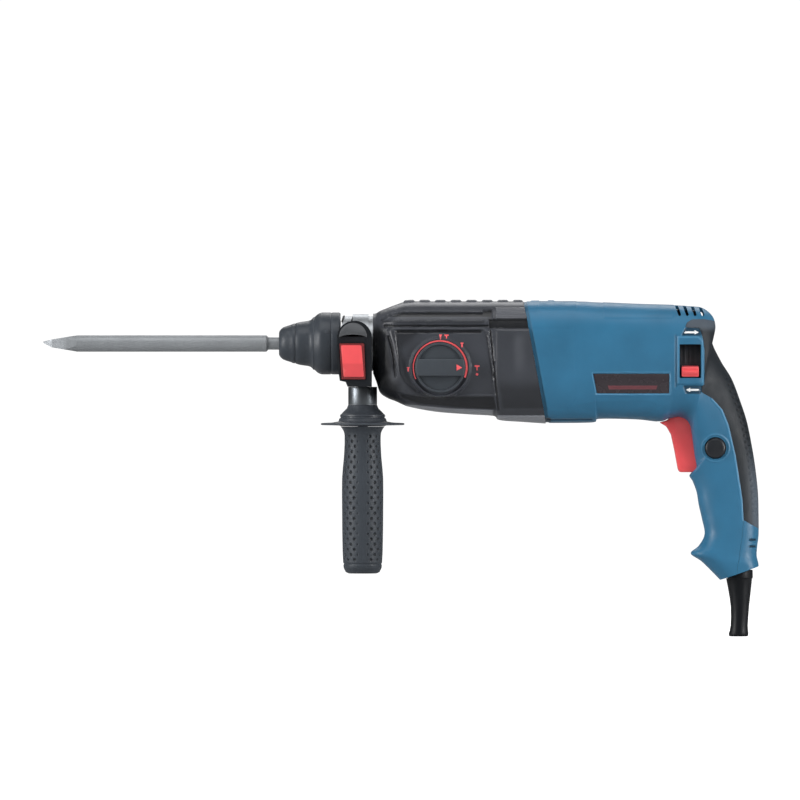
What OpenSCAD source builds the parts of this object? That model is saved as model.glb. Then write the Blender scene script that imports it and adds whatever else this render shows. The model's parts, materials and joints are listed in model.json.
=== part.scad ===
// Rotary hammer with a pointed chisel, pistol grip and swivelling side handle.
// Millimetres. +X runs from the nose to the rear, +Y to the right-hand side, +Z up.
// The origin is on the spindle axis, at the front face of the dust cap.

/* [Chisel] */
// Length that stands out of the nose
chisel_reach = 185.5; // [120:0.5:300]
// Diameter of the round body
chisel_d = 13; // [11:0.5:16]

/* [Mechanism] */
// Depth of the motor axis under the spindle axis
motor_drop = 13; // [12.5:0.1:13.5]
// Module of the teeth between the motor and the layshaft
motor_module = 0.8; // [0.7:0.05:0.8]
// Module of the teeth between the layshaft and the spindle
spindle_module = 1; // [0.9:0.05:1]
// Radius of the striker cylinder
cylinder_r = 10.05; // [9.5:0.05:10.5]

/* [Housings] */
// Thickness of the moulded walls
wall = 3; // [2.4:0.1:3.2]
// Gap left along each parting line
parting = 0.2; // [0.15:0.05:0.3]

/* [Side handle] */
// Length of the side grip below its guard
grip_length = 115.6; // [100:0.1:130]
// Radius of the guard disc
guard_r = 33.2; // [28:0.1:34]
// Radius of the neck that the strap clamps
collar_r = 21.5; // [21:0.1:21.7]

/* [Hidden] */

$fn = 64;
eps = 0.01;
// Radial play of a running fit
play = 0.05;

black = [0.24, 0.24, 0.27];
blue = [0.2, 0.45, 0.59];
red = [0.92, 0.33, 0.35];
steel = [0.66, 0.68, 0.7];
dark_steel = [0.42, 0.44, 0.47];
copper = [0.72, 0.45, 0.25];
grip_grey = [0.27, 0.3, 0.33];

// ---- Axes and stations along the tool ----
layshaft_z = -33;
motor_z = -motor_drop;
wobble_x = 160;
wobble_r = 18.6;
selector_x = 126.7;
selector_z = -19.1;
handle_x = 65.8;
trigger_pivot = [313, -53];
lock_pos = [342.9, -82.2];
boot_x = 362;
socket_r = 5.05;

// ---- Gears ----
motor_teeth = [10, 40];
spindle_teeth = [13, 53];

// ---- Barrel outline: x, top, bottom, half width, squareness ----
barrel_rows = [
    [74, 23.4, -23.6, 23.6, 2], [76.5, 23.8, -30, 26, 2.1], [79.5, 25.6, -38.6, 29, 2.3],
    [85, 27.8, -42.8, 32, 2.6], [92, 30.5, -45.6, 34, 2.9], [101.5, 33, -49.4, 35, 3],
    [123.5, 33.1, -53.5, 35.8, 3.1], [150, 33.1, -55.6, 36, 3.2], [168, 33.1, -56.8, 36, 3.2],
    [174, 33.1, -59.9, 37, 3.2], [193, 33.1, -61.4, 37.8, 3.3], [214, 33.1, -62.8, 38, 3.4]
];
// The barrel's housings meet on a plane that leans back towards the bottom
seam_x = 198.2;
seam_lean = 0.185;

// ---- Motor housing and handle: inner x, z; outer x, z; half width; squareness ----
handle_rows = [
    [209.8, -62.6, 192.1, 33.1, 38, 3.4], [246, -62.2, 236, 33, 38, 3.4], [252, -59.4, 247, 32.5, 38, 3.4],
    [281, -59.8, 281, 31, 37.6, 3.3], [299, -61.5, 308, 30.2, 36.5, 3.2], [307, -59.2, 322, 29.4, 35.5, 3],
    [314.5, -58.2, 333, 28, 34.5, 2.8], [320, -60.5, 341, 21.5, 33, 2.6], [323, -65, 343.4, 12.5, 31, 2.5],
    [324.3, -72, 340.6, 2, 28.5, 2.4], [325.2, -80, 347.5, -13.5, 25.5, 2.4],
    [326.2, -90, 356.3, -28, 22.5, 2.4], [327, -99, 363.2, -46, 20, 2.4],
    [323, -103.8, 368.2, -61.5, 18.6, 2.5], [325.5, -108.5, 371.8, -79, 17.8, 2.5],
    [328.6, -117, 374.6, -96, 17.2, 2.5], [330.3, -127, 376.9, -117, 17, 2.5],
    [332.8, -138, 377.4, -135, 17, 2.5], [334.9, -150, 377.4, -150, 17.3, 2.6],
    [330.4, -159, 376.3, -160, 18, 2.7], [324, -165.3, 375.9, -167, 18.6, 2.8],
    [333, -172, 377.2, -172.8, 18.8, 2.8], [347, -186, 377.4, -175.2, 17.5, 2.8]
];
// Front edge of the soft rear grip, from the hood down, paired with points behind the handle
grip_rows = [
    [321.9, 17.7, 352, 17.7], [321.9, 10.6, 352, 8], [333.7, 4.3, 355, 0], [333.7, -32.7, 375, -28],
    [331.3, -38.2, 377, -34], [340.8, -43.7, 380, -38], [348.6, -52.3, 384, -44], [353.4, -64.1, 386, -56],
    [358.9, -87.8, 390, -80], [364.4, -123.2, 392, -116], [365.2, -138.9, 392, -139], [376.2, -145.2, 392, -145.2]
];
cover_rows = [
    [365.2, -138.9, 392, -138.9], [364, -150, 392, -150], [362, -165, 392, -165], [360, -178, 392, -176],
    [359, -192, 392, -190]
];
ring_points = 32;

// ---- Curves and lofted skins ----
function spline(a, b, c, d, t) =
    0.5 * (2 * b + (c - a) * t + (2 * a - 5 * b + 4 * c - d) * t * t + (3 * b - a - 3 * c + d) * t * t * t);
function row_at(rows, i) = rows[max(0, min(len(rows) - 1, i))];
function smooth_rows(rows, steps) = [
    for (i = [0:len(rows) - 2], k = [0:steps - 1])
        spline(row_at(rows, i - 1), row_at(rows, i), row_at(rows, i + 1), row_at(rows, i + 2), k / steps),
    rows[len(rows) - 1]
];
function signed_power(v, p) = sign(v) * pow(abs(v), p);
function oval(half_u, half_v, squareness, count) = [
    for (k = [0:count - 1]) let (a = 360 * (k + 0.5) / count)
        [half_u * signed_power(cos(a), 2 / squareness), half_v * signed_power(sin(a), 2 / squareness)]
];
function barrel_ring(row, inset) = let (half = (row[1] - row[2]) / 2, mid = (row[1] + row[2]) / 2) [
    for (p = oval(half - inset, row[3] - inset, row[4], ring_points)) [row[0], p[1], mid + p[0]]
];
function handle_ring(row, inset) =
    let (inner = [row[0], row[1]], outer = [row[2], row[3]], span = norm(outer - inner),
         mid = (inner + outer) / 2, dir = (outer - inner) / span) [
        for (p = oval(span / 2 - inset, row[4] - inset, row[5], ring_points))
            [mid[0] + dir[0] * p[0], p[1], mid[1] + dir[1] * p[0]]
    ];

// A closed skin through a list of rings that all have the same number of points
module skin(rings) {
    m = len(rings[0]);
    last = (len(rings) - 1) * m;
    polyhedron(
        points = [for (ring = rings) each ring],
        faces = [
            [for (k = [m - 1:-1:0]) k],
            [for (k = [0:m - 1]) last + k],
            for (i = [0:len(rings) - 2], k = [0:m - 1]) let (a = i * m, b = a + m, n = (k + 1) % m)
                each [[a + k, a + n, b + n], [a + k, b + n, b + k]]
        ]
    );
}

// A coil spring along +Z
module coil(radius, wire_r, length, turns) {
    steps = 12;
    rise = length - 2 * wire_r;
    skin([
        for (i = [0:turns * steps]) let (a = 360 * i / steps, z = wire_r + rise * i / (turns * steps)) [
            for (k = [0:5]) let (b = 60 * k, r = radius + wire_r * cos(b))
                [r * cos(a), r * sin(a), z + wire_r * sin(b)]
        ]
    ]);
}

// ---- Placing helpers ----
// Turns +Z to +X, with the drawing's X across the tool and its Y upright
module along_x(x = 0, z = 0, y = 0) {
    translate([x, y, z]) rotate([90, 0, 90]) children();
}

// Turns +Z to +Y, with the drawing's X along the tool and its Y upright
module along_y(y = 0) {
    translate([0, y, 0]) mirror([0, 1, 0]) rotate([90, 0, 0]) children();
}

module rod_x(x0, x1, r, z = 0, y = 0) {
    along_x(x0, z, y) cylinder(r = r, h = x1 - x0);
}

module tube_x(x0, x1, r_out, r_in, z = 0) {
    difference() {
        rod_x(x0, x1, r_out, z);
        rod_x(x0 - 1, x1 + 1, r_in, z);
    }
}

// A turned shape about the X axis from points of x and radius
module turned_x(points, z = 0) {
    translate([0, 0, z]) rotate([0, 90, 0]) rotate_extrude() polygon([for (p = points) [p[1], p[0]]]);
}

// A turned shape about a vertical axis from points of radius and z
module turned_z(points, x) {
    translate([x, 0, 0]) rotate_extrude() polygon(points);
}

// A plate outline in x and z, extruded between two values of y
module side_plate(outline, y0, y1) {
    along_y(y0) linear_extrude(y1 - y0) polygon(outline);
}

// A block swept through pairs of points, from a front edge to a line behind it, right across the tool
module band_region(rows, width) {
    for (i = [0:len(rows) - 2])
        hull()
            for (p = [[rows[i][0], rows[i][1]], [rows[i][2], rows[i][3]],
                      [rows[i + 1][0], rows[i + 1][1]], [rows[i + 1][2], rows[i + 1][3]]])
                translate([p[0], -width / 2, p[1]]) cube([eps, width, eps]);
}

// Everything in front of the leaning seam, moved back by a shift
module seam_block(shift) {
    lean = atan(seam_lean);
    translate([seam_x + shift, 0, 0]) rotate([0, -lean, 0]) translate([-200, -100, -120]) cube([200, 200, 240]);
}

// ---- Involute gear ----
function involute(base, r) = let (t = sqrt(max(0, r * r / (base * base) - 1))) t * 180 / PI - atan(t);
function tooth_half_angle(pitch_r, module_mm, base, r) =
    90 * PI * module_mm / (2 * PI * pitch_r) * 2 * 0.86 / 2
    + involute(base, pitch_r) - involute(base, max(r, base));

module gear(teeth, module_mm, width, addendum) {
    pitch_r = teeth * module_mm / 2;
    base = pitch_r * cos(20);
    root = pitch_r - 1.1 * module_mm;
    tip = pitch_r + addendum * module_mm;
    radii = [root, max(base, root + 0.05), pitch_r, (pitch_r + tip) / 2, tip];
    linear_extrude(width) polygon([
        for (i = [0:teeth - 1]) let (mid = 360 * i / teeth) each [
            for (r = radii) let (a = mid - tooth_half_angle(pitch_r, module_mm, base, r)) r * [cos(a), sin(a)],
            for (k = [len(radii) - 1:-1:0])
                let (r = radii[k], a = mid + tooth_half_angle(pitch_r, module_mm, base, r)) r * [cos(a), sin(a)]
        ]
    ]);
}

// ---- Housings ----
module barrel_skin(inset, from = 0) {
    rows = smooth_rows(barrel_rows, 2);
    skin([for (i = [from:len(rows) - 1]) barrel_ring(rows[i], inset)]);
}

module handle_skin(inset) {
    skin([for (row = smooth_rows(handle_rows, 2)) handle_ring(row, inset)]);
}

// Rounded ribs across the top of the gear housing
module top_ribs() {
    rib_pitch = 12.28;
    rib_x = 102.4;
    rib_half_width = 13;
    for (i = [0:7])
        hull()
            for (dx = [-3, 3], side = [-1, 1])
                translate([rib_x + i * rib_pitch + dx, side * rib_half_width, 32.9]) sphere(r = 1.5, $fn = 12);
}

module gear_housing() {
    boss_r = 23.2;
    color(black) intersection() {
        seam_block(-parting / 2);
        difference() {
            union() {
                barrel_skin(0);
                along_y(-37.2) translate([selector_x, selector_z, 0]) cylinder(r = boss_r, h = 12);
                top_ribs();
            }
            barrel_skin(wall, 3);
            translate([210, 0, -15]) cube([10, 60, 74], center = true);
            rod_x(73, 90, collar_r + 0.4);
            along_y(-40) translate([selector_x, selector_z, 0]) {
                cylinder(r = 21.7, h = 4.2);
                cylinder(r = 8.4, h = 20);
            }
        }
    }
}

module front_collar() {
    color(steel) {
        tube_x(49.5, 84, collar_r, 17.1);
        tube_x(84, 87, 22.4, 17.1);
    }
}

// A cross wall that fits the inside of the barrel
module cross_wall(x, width, half_height, half_width, z) {
    along_x(x, z) linear_extrude(width) polygon([for (p = oval(half_height, half_width, 3, 40)) [p[1], p[0]]]);
}

module bearing_bracket() {
    color(steel) difference() {
        cross_wall(139.5, 6.5, 40, 32, -11.2);
        rod_x(130, 150, 19.05);
        rod_x(130, 150, 8.05, layshaft_z);
    }
}

module bearing_flange() {
    color(steel) difference() {
        cross_wall(182, 6, 42.6, 33.2, -13.9);
        rod_x(180, 190, 11.05, motor_z);
        rod_x(180, 190, 8.05, layshaft_z);
    }
}

// Space for the trigger to swing in
trigger_gap_half = 9.1;
trigger_gap = [
    [297.3, -70], [297.3, -58.4], [304, -47], [326, -44], [337, -60], [339, -99], [336, -101.9], [312, -101.9]
];

// Vent slots high on the rear of both sides of the motor housing
module rear_vents() {
    for (i = [0:3], side = [-1, 1])
        hull()
            for (end = [[312.4, 29.5], [314.4, 22.4]])
                translate([end[0] + i * 6.1, side * 24, end[1]]) rotate([90, 0, 0])
                    cylinder(r = 1.1, h = 26, center = true, $fn = 8);
}

// Air outlets for the fan, low on the front of both sides
module fan_vents() {
    for (i = [0:4], side = [-1, 1])
        hull()
            for (z = [-46, -56])
                translate([216 + i * 6, side * 24, z]) rotate([90, 0, 0])
                    cylinder(r = 1.2, h = 26, center = true, $fn = 8);
}

module motor_housing() {
    color(blue) difference() {
        handle_skin(0);
        seam_block(parting / 2);
        handle_cavity();
        band_region(grip_rows, 100);
        band_region(cover_rows, 100);
        rear_vents();
        fan_vents();
        direction_window();
        side_plate(trigger_gap, -trigger_gap_half, trigger_gap_half);
        along_y(-30) translate([lock_pos[0], lock_pos[1], 0]) cylinder(r = 8.6, h = 20);
        for (side = [-1, 1])
            translate([276, side * 38.6, -31.6]) cube([60.6, 6, 16.1], center = true);
        turned_z([[0, -200], [9.4, -200], [9.4, -164], [0, -164]], boot_x);
    }
}

module handle_cavity() {
    rows = smooth_rows(handle_rows, 2);
    first = rows[0];
    skin([
        handle_ring([first[0] - 14, first[1], first[2] - 14, first[3], first[4], first[5]], wall),
        for (i = [1:len(rows) - 3]) handle_ring(rows[i], wall)
    ]);
}

module direction_window() {
    translate([322.8, -36, -13.6]) cube([16.8, 26, 27.2], center = true);
}

// The soft grip and the cover keep a parting gap to the motor housing
module handle_slice(rows) {
    intersection() {
        difference() {
            handle_skin(0);
            handle_cavity();
        }
        translate([parting, 0, 0]) band_region(rows, 100);
    }
}

module rear_grip() {
    color(grip_grey) difference() {
        handle_slice(grip_rows);
        translate([330, -50, -148]) cube([60, 100, 2.6]);
    }
}

module handle_cover() {
    color(blue) difference() {
        handle_slice(cover_rows);
        band_region(grip_rows, 100);
        translate([360, -50, parting - 145.5]) cube([30, 100, 12]);
        turned_z([[0, -200], [9.4, -200], [9.4, -164], [0, -164]], boot_x);
        for (i = [0, 1], side = [-1, 1])
            hull()
                for (x = [371, 379])
                    translate([x, side * 12, -153.7 - i * 6.1]) sphere(r = 1.1, $fn = 10);
    }
}

module name_plate() {
    color([0.24, 0.21, 0.22])
        side_plate([[246.3, -23.8], [306, -23.8], [306, -39.3], [249.4, -39.3]], -37.5, -35.75);
}

module rating_plate() {
    color([0.6, 0.62, 0.64]) side_plate([[246, -23.8], [306, -23.8], [306, -39.3], [246, -39.3]], 35.75, 37.4);
}

// ---- Motor ----
stator_x = [222, 268];
stator_r = 33.4;
rotor_r = 19.5;

// A wedge about the motor axis, for windings and their windows
module motor_sector(x0, x1, r_in, r_out, half_angle, upright) {
    reach = r_out * 1.6;
    intersection() {
        tube_x(x0, x1, r_out, r_in, motor_z);
        along_x(x0 - 1, motor_z) linear_extrude(x1 - x0 + 2)
            polygon([[0, 0], for (a = [-half_angle, 0, half_angle]) reach * [cos(upright + a), sin(upright + a)]]);
    }
}

module stator_core() {
    color(dark_steel) difference() {
        rod_x(stator_x[0], stator_x[1], stator_r, motor_z);
        rod_x(stator_x[0] - 1, stator_x[1] + 1, rotor_r + 0.6, motor_z);
        for (a = [0, 90, 180, 270])
            motor_sector(stator_x[0] - 1, stator_x[1] + 1, rotor_r + 4, stator_r - 4, 30, 45 + a);
    }
}

module field_coils() {
    color(copper) for (a = [0, 90, 180, 270])
        motor_sector(stator_x[0] - 5, stator_x[1] + 5, rotor_r + 4.4, stator_r - 4.4, 28, 45 + a);
}

module air_baffle() {
    color(black) tube_x(215.3, 216.7, 33.4, 25, motor_z);
}

module rear_bearing_bridge() {
    color(blue) difference() {
        translate([309.5, 0, -10.5]) cube([7, 27, 71], center = true);
        rod_x(300, 320, 11.05, motor_z);
    }
}

module armature_bearings() {
    color(steel) {
        tube_x(182.2, 187.8, 11, 4 + play, motor_z);
        tube_x(306.5, 312.5, 11, 4 + play, motor_z);
    }
}

module armature() {
    color(steel) {
        along_x(173.5, motor_z) gear(motor_teeth[0], motor_module, 7, 0.8);
        rod_x(180.5, 313.5, 4, motor_z);
    }
}

module armature_core() {
    slots = 12;
    color(dark_steel) difference() {
        tube_x(stator_x[0], stator_x[1], rotor_r, 4.05, motor_z);
        for (i = [0:slots - 1])
            translate([0, 0, motor_z]) rotate([360 * i / slots, 0, 0])
                translate([stator_x[0] - 1, -1.6, 12]) cube([stator_x[1] - stator_x[0] + 2, 3.2, 9]);
    }
}

module armature_windings() {
    color(copper) for (x = [[stator_x[0] - 5.4, stator_x[0] - 0.1], [stator_x[1] + 0.1, stator_x[1] + 7]])
        tube_x(x[0], x[1], 17.5, 5, motor_z);
}

module commutator() {
    bars = 24;
    color(copper) difference() {
        tube_x(283, 298, 11.5, 4.05, motor_z);
        for (i = [0:bars - 1])
            translate([0, 0, motor_z]) rotate([360 * i / bars, 0, 0])
                translate([282, -0.25, 10.4]) cube([14, 0.5, 2]);
    }
}

module fan() {
    blades = 9;
    color(black) {
        tube_x(206, 208, 30, 4.05, motor_z);
        tube_x(208, 215, 9, 4.05, motor_z);
        for (i = [0:blades - 1])
            translate([0, 0, motor_z]) rotate([360 * i / blades, 0, 0])
                translate([207.5, -0.9, 8.5]) cube([7.5, 1.8, 20]);
    }
}

// ---- Gearbox ----
module layshaft() {
    color(steel) {
        along_x(127.5, layshaft_z) rotate(90) gear(spindle_teeth[0], spindle_module, 11, 0.8);
        rod_x(138.5, 188, 4, layshaft_z);
        rod_x(152, 168.5, 7, layshaft_z);
        translate([wobble_x, 0, layshaft_z]) sphere(r = 11.8);
        along_x(174, layshaft_z) gear(motor_teeth[1], motor_module, 6.4, 0.6);
    }
}

module layshaft_bearings() {
    color(steel) {
        tube_x(139.7, 145.8, 8, 4 + play, layshaft_z);
        tube_x(182.2, 187.8, 8, 4 + play, layshaft_z);
    }
}

module wobble_ring() {
    color(steel) {
        difference() {
            rod_x(wobble_x - 3.5, wobble_x + 3.5, wobble_r, layshaft_z);
            translate([wobble_x, 0, layshaft_z]) sphere(r = 16.2);
        }
        translate([wobble_x, 0, layshaft_z + 17]) cylinder(r = 3, h = 20.5);
    }
}

module wobble_balls() {
    balls = 14;
    color(dark_steel) for (i = [0:balls - 1])
        translate([wobble_x, 0, layshaft_z]) rotate([360 * i / balls, 0, 0])
            translate([0, 0, 14.1]) sphere(r = 1.95);
}

module piston_trunnion() {
    color(dark_steel) difference() {
        along_y(-8.4) translate([wobble_x, 0, 0]) cylinder(r = 4.5, h = 16.8);
        translate([wobble_x, 0, -10]) cylinder(r = 3.25, h = 20);
    }
}

module piston() {
    bore = cylinder_r - 0.1;
    color(steel) difference() {
        rod_x(128, 166, bore);
        tube_x(133, 136, 12, 7.9);
        translate([147, -5.2, -12]) cube([30, 10.4, 24]);
        along_y(-12) translate([wobble_x, 0, 0]) cylinder(r = 4.5 + play, h = 24);
    }
}

module o_ring(x) {
    turn = cylinder_r - 1.05;
    rotate([0, 90, 0]) rotate_extrude() translate([turn, x]) circle(r = 1, $fn = 24);
}

module piston_rings() {
    color(black) o_ring(134.5);
}

module ram() {
    color(dark_steel) difference() {
        rod_x(98, 118, cylinder_r - 0.07);
        tube_x(108, 111, 12, 8.4);
        rod_x(114, 119, 5);
    }
}

module impact_bolt() {
    color(steel) turned_x([
        [64.3, 0], [64.3, 4.4], [65, 4.95], [74, 4.95], [76, 7.9], [84, 7.9], [86, 5.5], [90, 5.5], [90, 0]
    ]);
}

module spindle() {
    color(dark_steel) {
        difference() {
            turned_x([
                [4, socket_r], [4, 10], [5, 11], [16, 11], [16, 12.5], [48.8, 12.5], [48.8, 14], [146, 14],
                [146, cylinder_r], [90, cylinder_r], [90, 8.05], [65, 8.05], [65, socket_r]
            ]);
            for (side = [0, 180])
                rotate([side, 0, 0]) translate([30, 0, 3]) cylinder(r = 3.6, h = 12);
        }
        for (side = [-1, 1])
            translate([40, side * 4.5, 0]) cube([20, 1.6, 2.4], center = true);
    }
}

module locking_balls() {
    color(steel) for (side = [-1, 1])
        translate([30, 0, side * 7.2]) sphere(r = 3.5);
}

module chisel() {
    body_r = chisel_d / 2;
    tip_x = -chisel_reach;
    color(steel) difference() {
        union() {
            turned_x([
                [tip_x + 26, 0], [tip_x + 26, body_r], [-10, body_r], [-8.4, 4.9], [2, 4.9], [3, 5], [63, 5],
                [64, 4], [64, 0]
            ]);
            intersection() {
                rod_x(tip_x, tip_x + 27, body_r);
                hull() {
                    translate([tip_x + 27, 0, 0]) cube([eps, 2 * body_r, 2 * body_r], center = true);
                    translate([tip_x + 7, 0, 0]) cube([eps, 6.4, 6.4], center = true);
                    translate([tip_x, 0, 1]) cube([eps, 2, 1.2], center = true);
                }
            }
        }
        for (side = [-1, 1]) {
            translate([42, side * 5.2, 0]) cube([50, 3.7, 3], center = true);
            rod_x(30.5, 38.5, 3.9, side * 7.2);
            for (x = [30.5, 38.5])
                translate([x, 0, side * 7.2]) sphere(r = 3.9);
        }
    }
}

module dust_cap() {
    color(black) turned_x([
        [0, 5.5], [0, 9.6], [0.8, 10.6], [3.9, 13.2], [7.1, 14.2], [10.2, 15.3], [12.5, 15.9], [12.5, 11.1],
        [3.7, 11.1], [3.7, 5.5]
    ]);
}

module locking_sleeve() {
    color(black) turned_x([
        [12.9, 12.9], [12.9, 15.9], [16.5, 17], [23, 17.7], [26, 19.2], [29, 21.9], [32.3, 24.1], [34, 24.4],
        [47.5, 24.4], [48.5, 23.6], [48.5, 22.3], [34.2, 22.3], [34.2, 16.1], [21.7, 16.1], [21.7, 12.9]
    ]);
}

module locking_ring() {
    color(steel) tube_x(21.8, 34, 16, 12.7);
}

module spring_seat() {
    color(steel) tube_x(47, 48.6, 20, 12.55);
}

module chuck_spring() {
    color(steel) along_x(34.4) coil(16, 0.7, 12.4, 4);
}

module spindle_gear() {
    color(steel) difference() {
        along_x(128, 0) rotate(270 + 180 / spindle_teeth[1]) gear(spindle_teeth[1], spindle_module, 10, 0.6);
        rod_x(120, 140, 14 + play);
    }
}

module clutch_sleeve() {
    color(dark_steel) difference() {
        tube_x(108, 119, 19.5, 14 + play);
        tube_x(113, 116.4, 22, 16.8);
    }
}

module shift_fork() {
    color(steel) {
        difference() {
            tube_x(113.2, 116.2, 27, 17.2);
            translate([100, -4, -40]) cube([40, 50, 80]);
            translate([100, -40, 6]) cube([40, 50, 50]);
        }
        difference() {
            side_plate([[113.2, -28], [130, -28], [130, -8], [113.2, -8]], -31, -24);
            translate([selector_x - 4, -28, selector_z - 1.9]) cube([6.2, 12, 9.2], center = true);
            translate([116.2, -28, -40]) cube([30, 8, 50]);
        }
    }
}

module selector_knob() {
    bar_half = 7.5;
    color(black) along_y(0) translate([selector_x, selector_z, 0]) {
        translate([0, 0, -39.4]) cylinder(r = 21, h = 3.3);
        translate([0, 0, -36.5]) cylinder(r = 8, h = 4.6);
        intersection() {
            translate([0, 0, -45]) cylinder(r = 20.6, h = 6);
            translate([0, 0, -42]) cube([44, 2 * bar_half, 6], center = true);
        }
        translate([-4, 0, -32.5]) cylinder(r = 2, h = 7);
    }
}

module spindle_bearings() {
    color(steel) {
        tube_x(56, 66, 17, 14 + play);
        tube_x(139.7, 145.8, 19, 14 + play);
    }
}

module spindle_seal() {
    color(black) tube_x(50, 54, 17, 14 + play);
}

// ---- Controls ----
module brush_ring() {
    color(black) {
        difference() {
            rod_x(299, 303, 28.5, motor_z);
            rod_x(290, 310, 13, motor_z);
        }
        motor_sector(302.9, 330, 24.5, 28.5, 9, 195);
        for (side = [0, 180])
            translate([0, 0, motor_z]) rotate([side, 0, 0]) difference() {
                translate([286, -5, 13]) cube([13.1, 10, 14]);
                translate([288, -3, 10]) cube([8.6, 6, 20]);
            }
    }
}

module carbon_brushes() {
    color([0.15, 0.15, 0.15]) for (side = [0, 180])
        translate([0, 0, motor_z]) rotate([side, 0, 0]) translate([288.2, -2.8, 11.8]) cube([8.2, 5.6, 12]);
}

module direction_knob() {
    color(red) motor_sector(316, 329.4, 28.7, 38.4, 6.2, 195);
}

trigger_outline = [
    [299.4, -62.2], [306, -60.2], [309, -54.5], [309.5, -49.8], [313, -48.6], [316.5, -49.8], [322, -56],
    [331, -66], [331.5, -99], [329, -101.3], [315.2, -101.3], [313.9, -99.2], [311.2, -84.4], [308.5, -71.8],
    [304.9, -65.4]
];

module trigger() {
    color(red) difference() {
        side_plate(trigger_outline, -8.6, 8.6);
        along_y(-20) translate([trigger_pivot[0], trigger_pivot[1], 0]) cylinder(r = 2 + play, h = 40);
    }
}

module trigger_pin() {
    reach = trigger_gap_half - play;
    color(steel) along_y(-reach) translate([trigger_pivot[0], trigger_pivot[1], 0]) cylinder(r = 2, h = 2 * reach);
}

module switch_body() {
    color(black) translate([341, -8.8, -114]) cube([20, 17.6, 44]);
}

module capacitor() {
    color([0.75, 0.7, 0.4]) translate([344, -6, -136]) cube([16, 12, 18]);
}

module lock_button() {
    color(black) along_y(0) translate([lock_pos[0], lock_pos[1], 0]) {
        translate([0, 0, -20.8]) cylinder(r = 8.1, h = 3);
        translate([0, 0, -18]) cylinder(r = 5, h = 5.7);
    }
}

// ---- Cord entry ----
module cord_boot() {
    color([0.12, 0.13, 0.15]) difference() {
        turned_z([
            [4.1, -230.6], [7.4, -230.6], [7.9, -228.5], [7.6, -226], [6.9, -222], [7.2, -207], [8.1, -200],
            [9.2, -192], [11, -184], [11, -178], [9, -178], [9, -167], [4.1, -167]
        ], boot_x);
        difference() {
            translate([0, 0, 0.4]) rotate_about_foot() translate([-40, -30, 0]) cube([80, 60, 40]);
            translate([boot_x, 0, -200]) cylinder(r = 9, h = 60);
        }
    }
}

// Lays the XY plane on the sloping foot of the handle
module rotate_about_foot() {
    foot = handle_rows[len(handle_rows) - 1];
    slope = atan2(foot[3] - foot[1], foot[2] - foot[0]);
    translate([foot[0], 0, foot[1]]) rotate([0, -slope, 0]) translate([0, 0, -0.8]) children();
}

module cord_clamp() {
    color(black) difference() {
        translate([354, -9, -163.5]) cube([14, 18, 7]);
        translate([boot_x, 0, -170]) cylinder(r = 4.2, h = 20);
    }
}

// ---- Fasteners ----
module screw(head_r, head_h, r, length) {
    difference() {
        union() {
            cylinder(r = head_r, h = head_h);
            translate([0, 0, head_h - eps]) cylinder(r = r, h = length);
        }
        translate([0, 0, -1]) cylinder(r = head_r * 0.5, h = 1 + head_h * 0.6, $fn = 6);
    }
}

housing_screw_at = [[24, 21], [24, -49], [-24, 21], [-24, -49]];
module housing_screws() {
    color(steel) for (p = housing_screw_at)
        along_x(190, p[1] , p[0]) screw(2.6, 2, 1.6, 8);
}

handle_screw_at = [[336, 6], [346, -63], [345, -160]];
module handle_screws() {
    color(steel) for (p = handle_screw_at)
        along_y(0) translate([p[0], p[1], 0]) mirror([0, 0, 1]) translate([0, 0, -13]) screw(2.6, 1.8, 1.5, 9);
}

// ---- Side handle ----
base_x = [55.4, 73];
cheek_x = [45.8, 73.2];
stop_bore = [-30.5, -2];

module cheek_outline() {
    polygon([
        for (a = [180:-15:0]) [(cheek_x[0] + cheek_x[1]) / 2 + 13.7 * cos(a), 4 + 13.7 * sin(a)],
        [73.2, -30], [71, -34], [55.4, -34], [46.6, -27.5]
    ]);
}

module clamp_base() {
    color(black) difference() {
        union() {
            translate([base_x[0], -25.6, -34]) cube([base_x[1] - base_x[0], 53.6, 4]);
            translate([base_x[0], -19.5, -34]) cube([base_x[1] - base_x[0], 39, 20]);
            translate([base_x[0], 25.2, -34]) cube([base_x[1] - base_x[0], 3, 26]);
            along_y(-39) linear_extrude(13.5) cheek_outline();
        }
        rod_x(40, 80, collar_r + 0.3);
        translate([57.2, -23.6, -29.9]) cube([14, 47.2, 20]);
        rod_x(40, 80, 4.1, stop_bore[1], stop_bore[0]);
        translate([handle_x, 0, -40]) cylinder(r = 4.3, h = 20);
        side_plate([[47.8, -0.4], [67.3, -0.4], [66.2, -27.8], [49.6, -27.8]], -45, -35.8);
    }
}

module handle_stem() {
    color(dark_steel) translate([handle_x, 0, -48]) difference() {
        cylinder(r = 11.4, h = 13.9);
        translate([0, 0, -1]) cylinder(r = 4.3, h = 20);
    }
}

module clamp_strap() {
    leg_r = collar_r + 0.35;
    color(steel) {
        difference() {
            union() {
                rod_x(58, 70.5, leg_r + 1.2);
                translate([58, -leg_r - 1.2, -28.6]) cube([12.5, 2 * leg_r + 2.4, 28.6]);
            }
            rod_x(50, 80, leg_r);
            translate([50, -leg_r, -26.6]) cube([30, 2 * leg_r, 26.6]);
        }
        translate([handle_x, 0, -27]) cylinder(r = 4, h = 2.6);
        translate([handle_x, 0, -75]) cylinder(r = 4, h = 48);
    }
}

module depth_button() {
    color(red) difference() {
        side_plate([[48.4, -0.9], [66.7, -0.9], [65.6, -27.2], [50.2, -27.2]], -41.6, -38.4);
        for (i = [0:4])
            translate([57, -42.3, -6 - 4 * i]) cube([12, 2, 1], center = true);
    }
}

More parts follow.
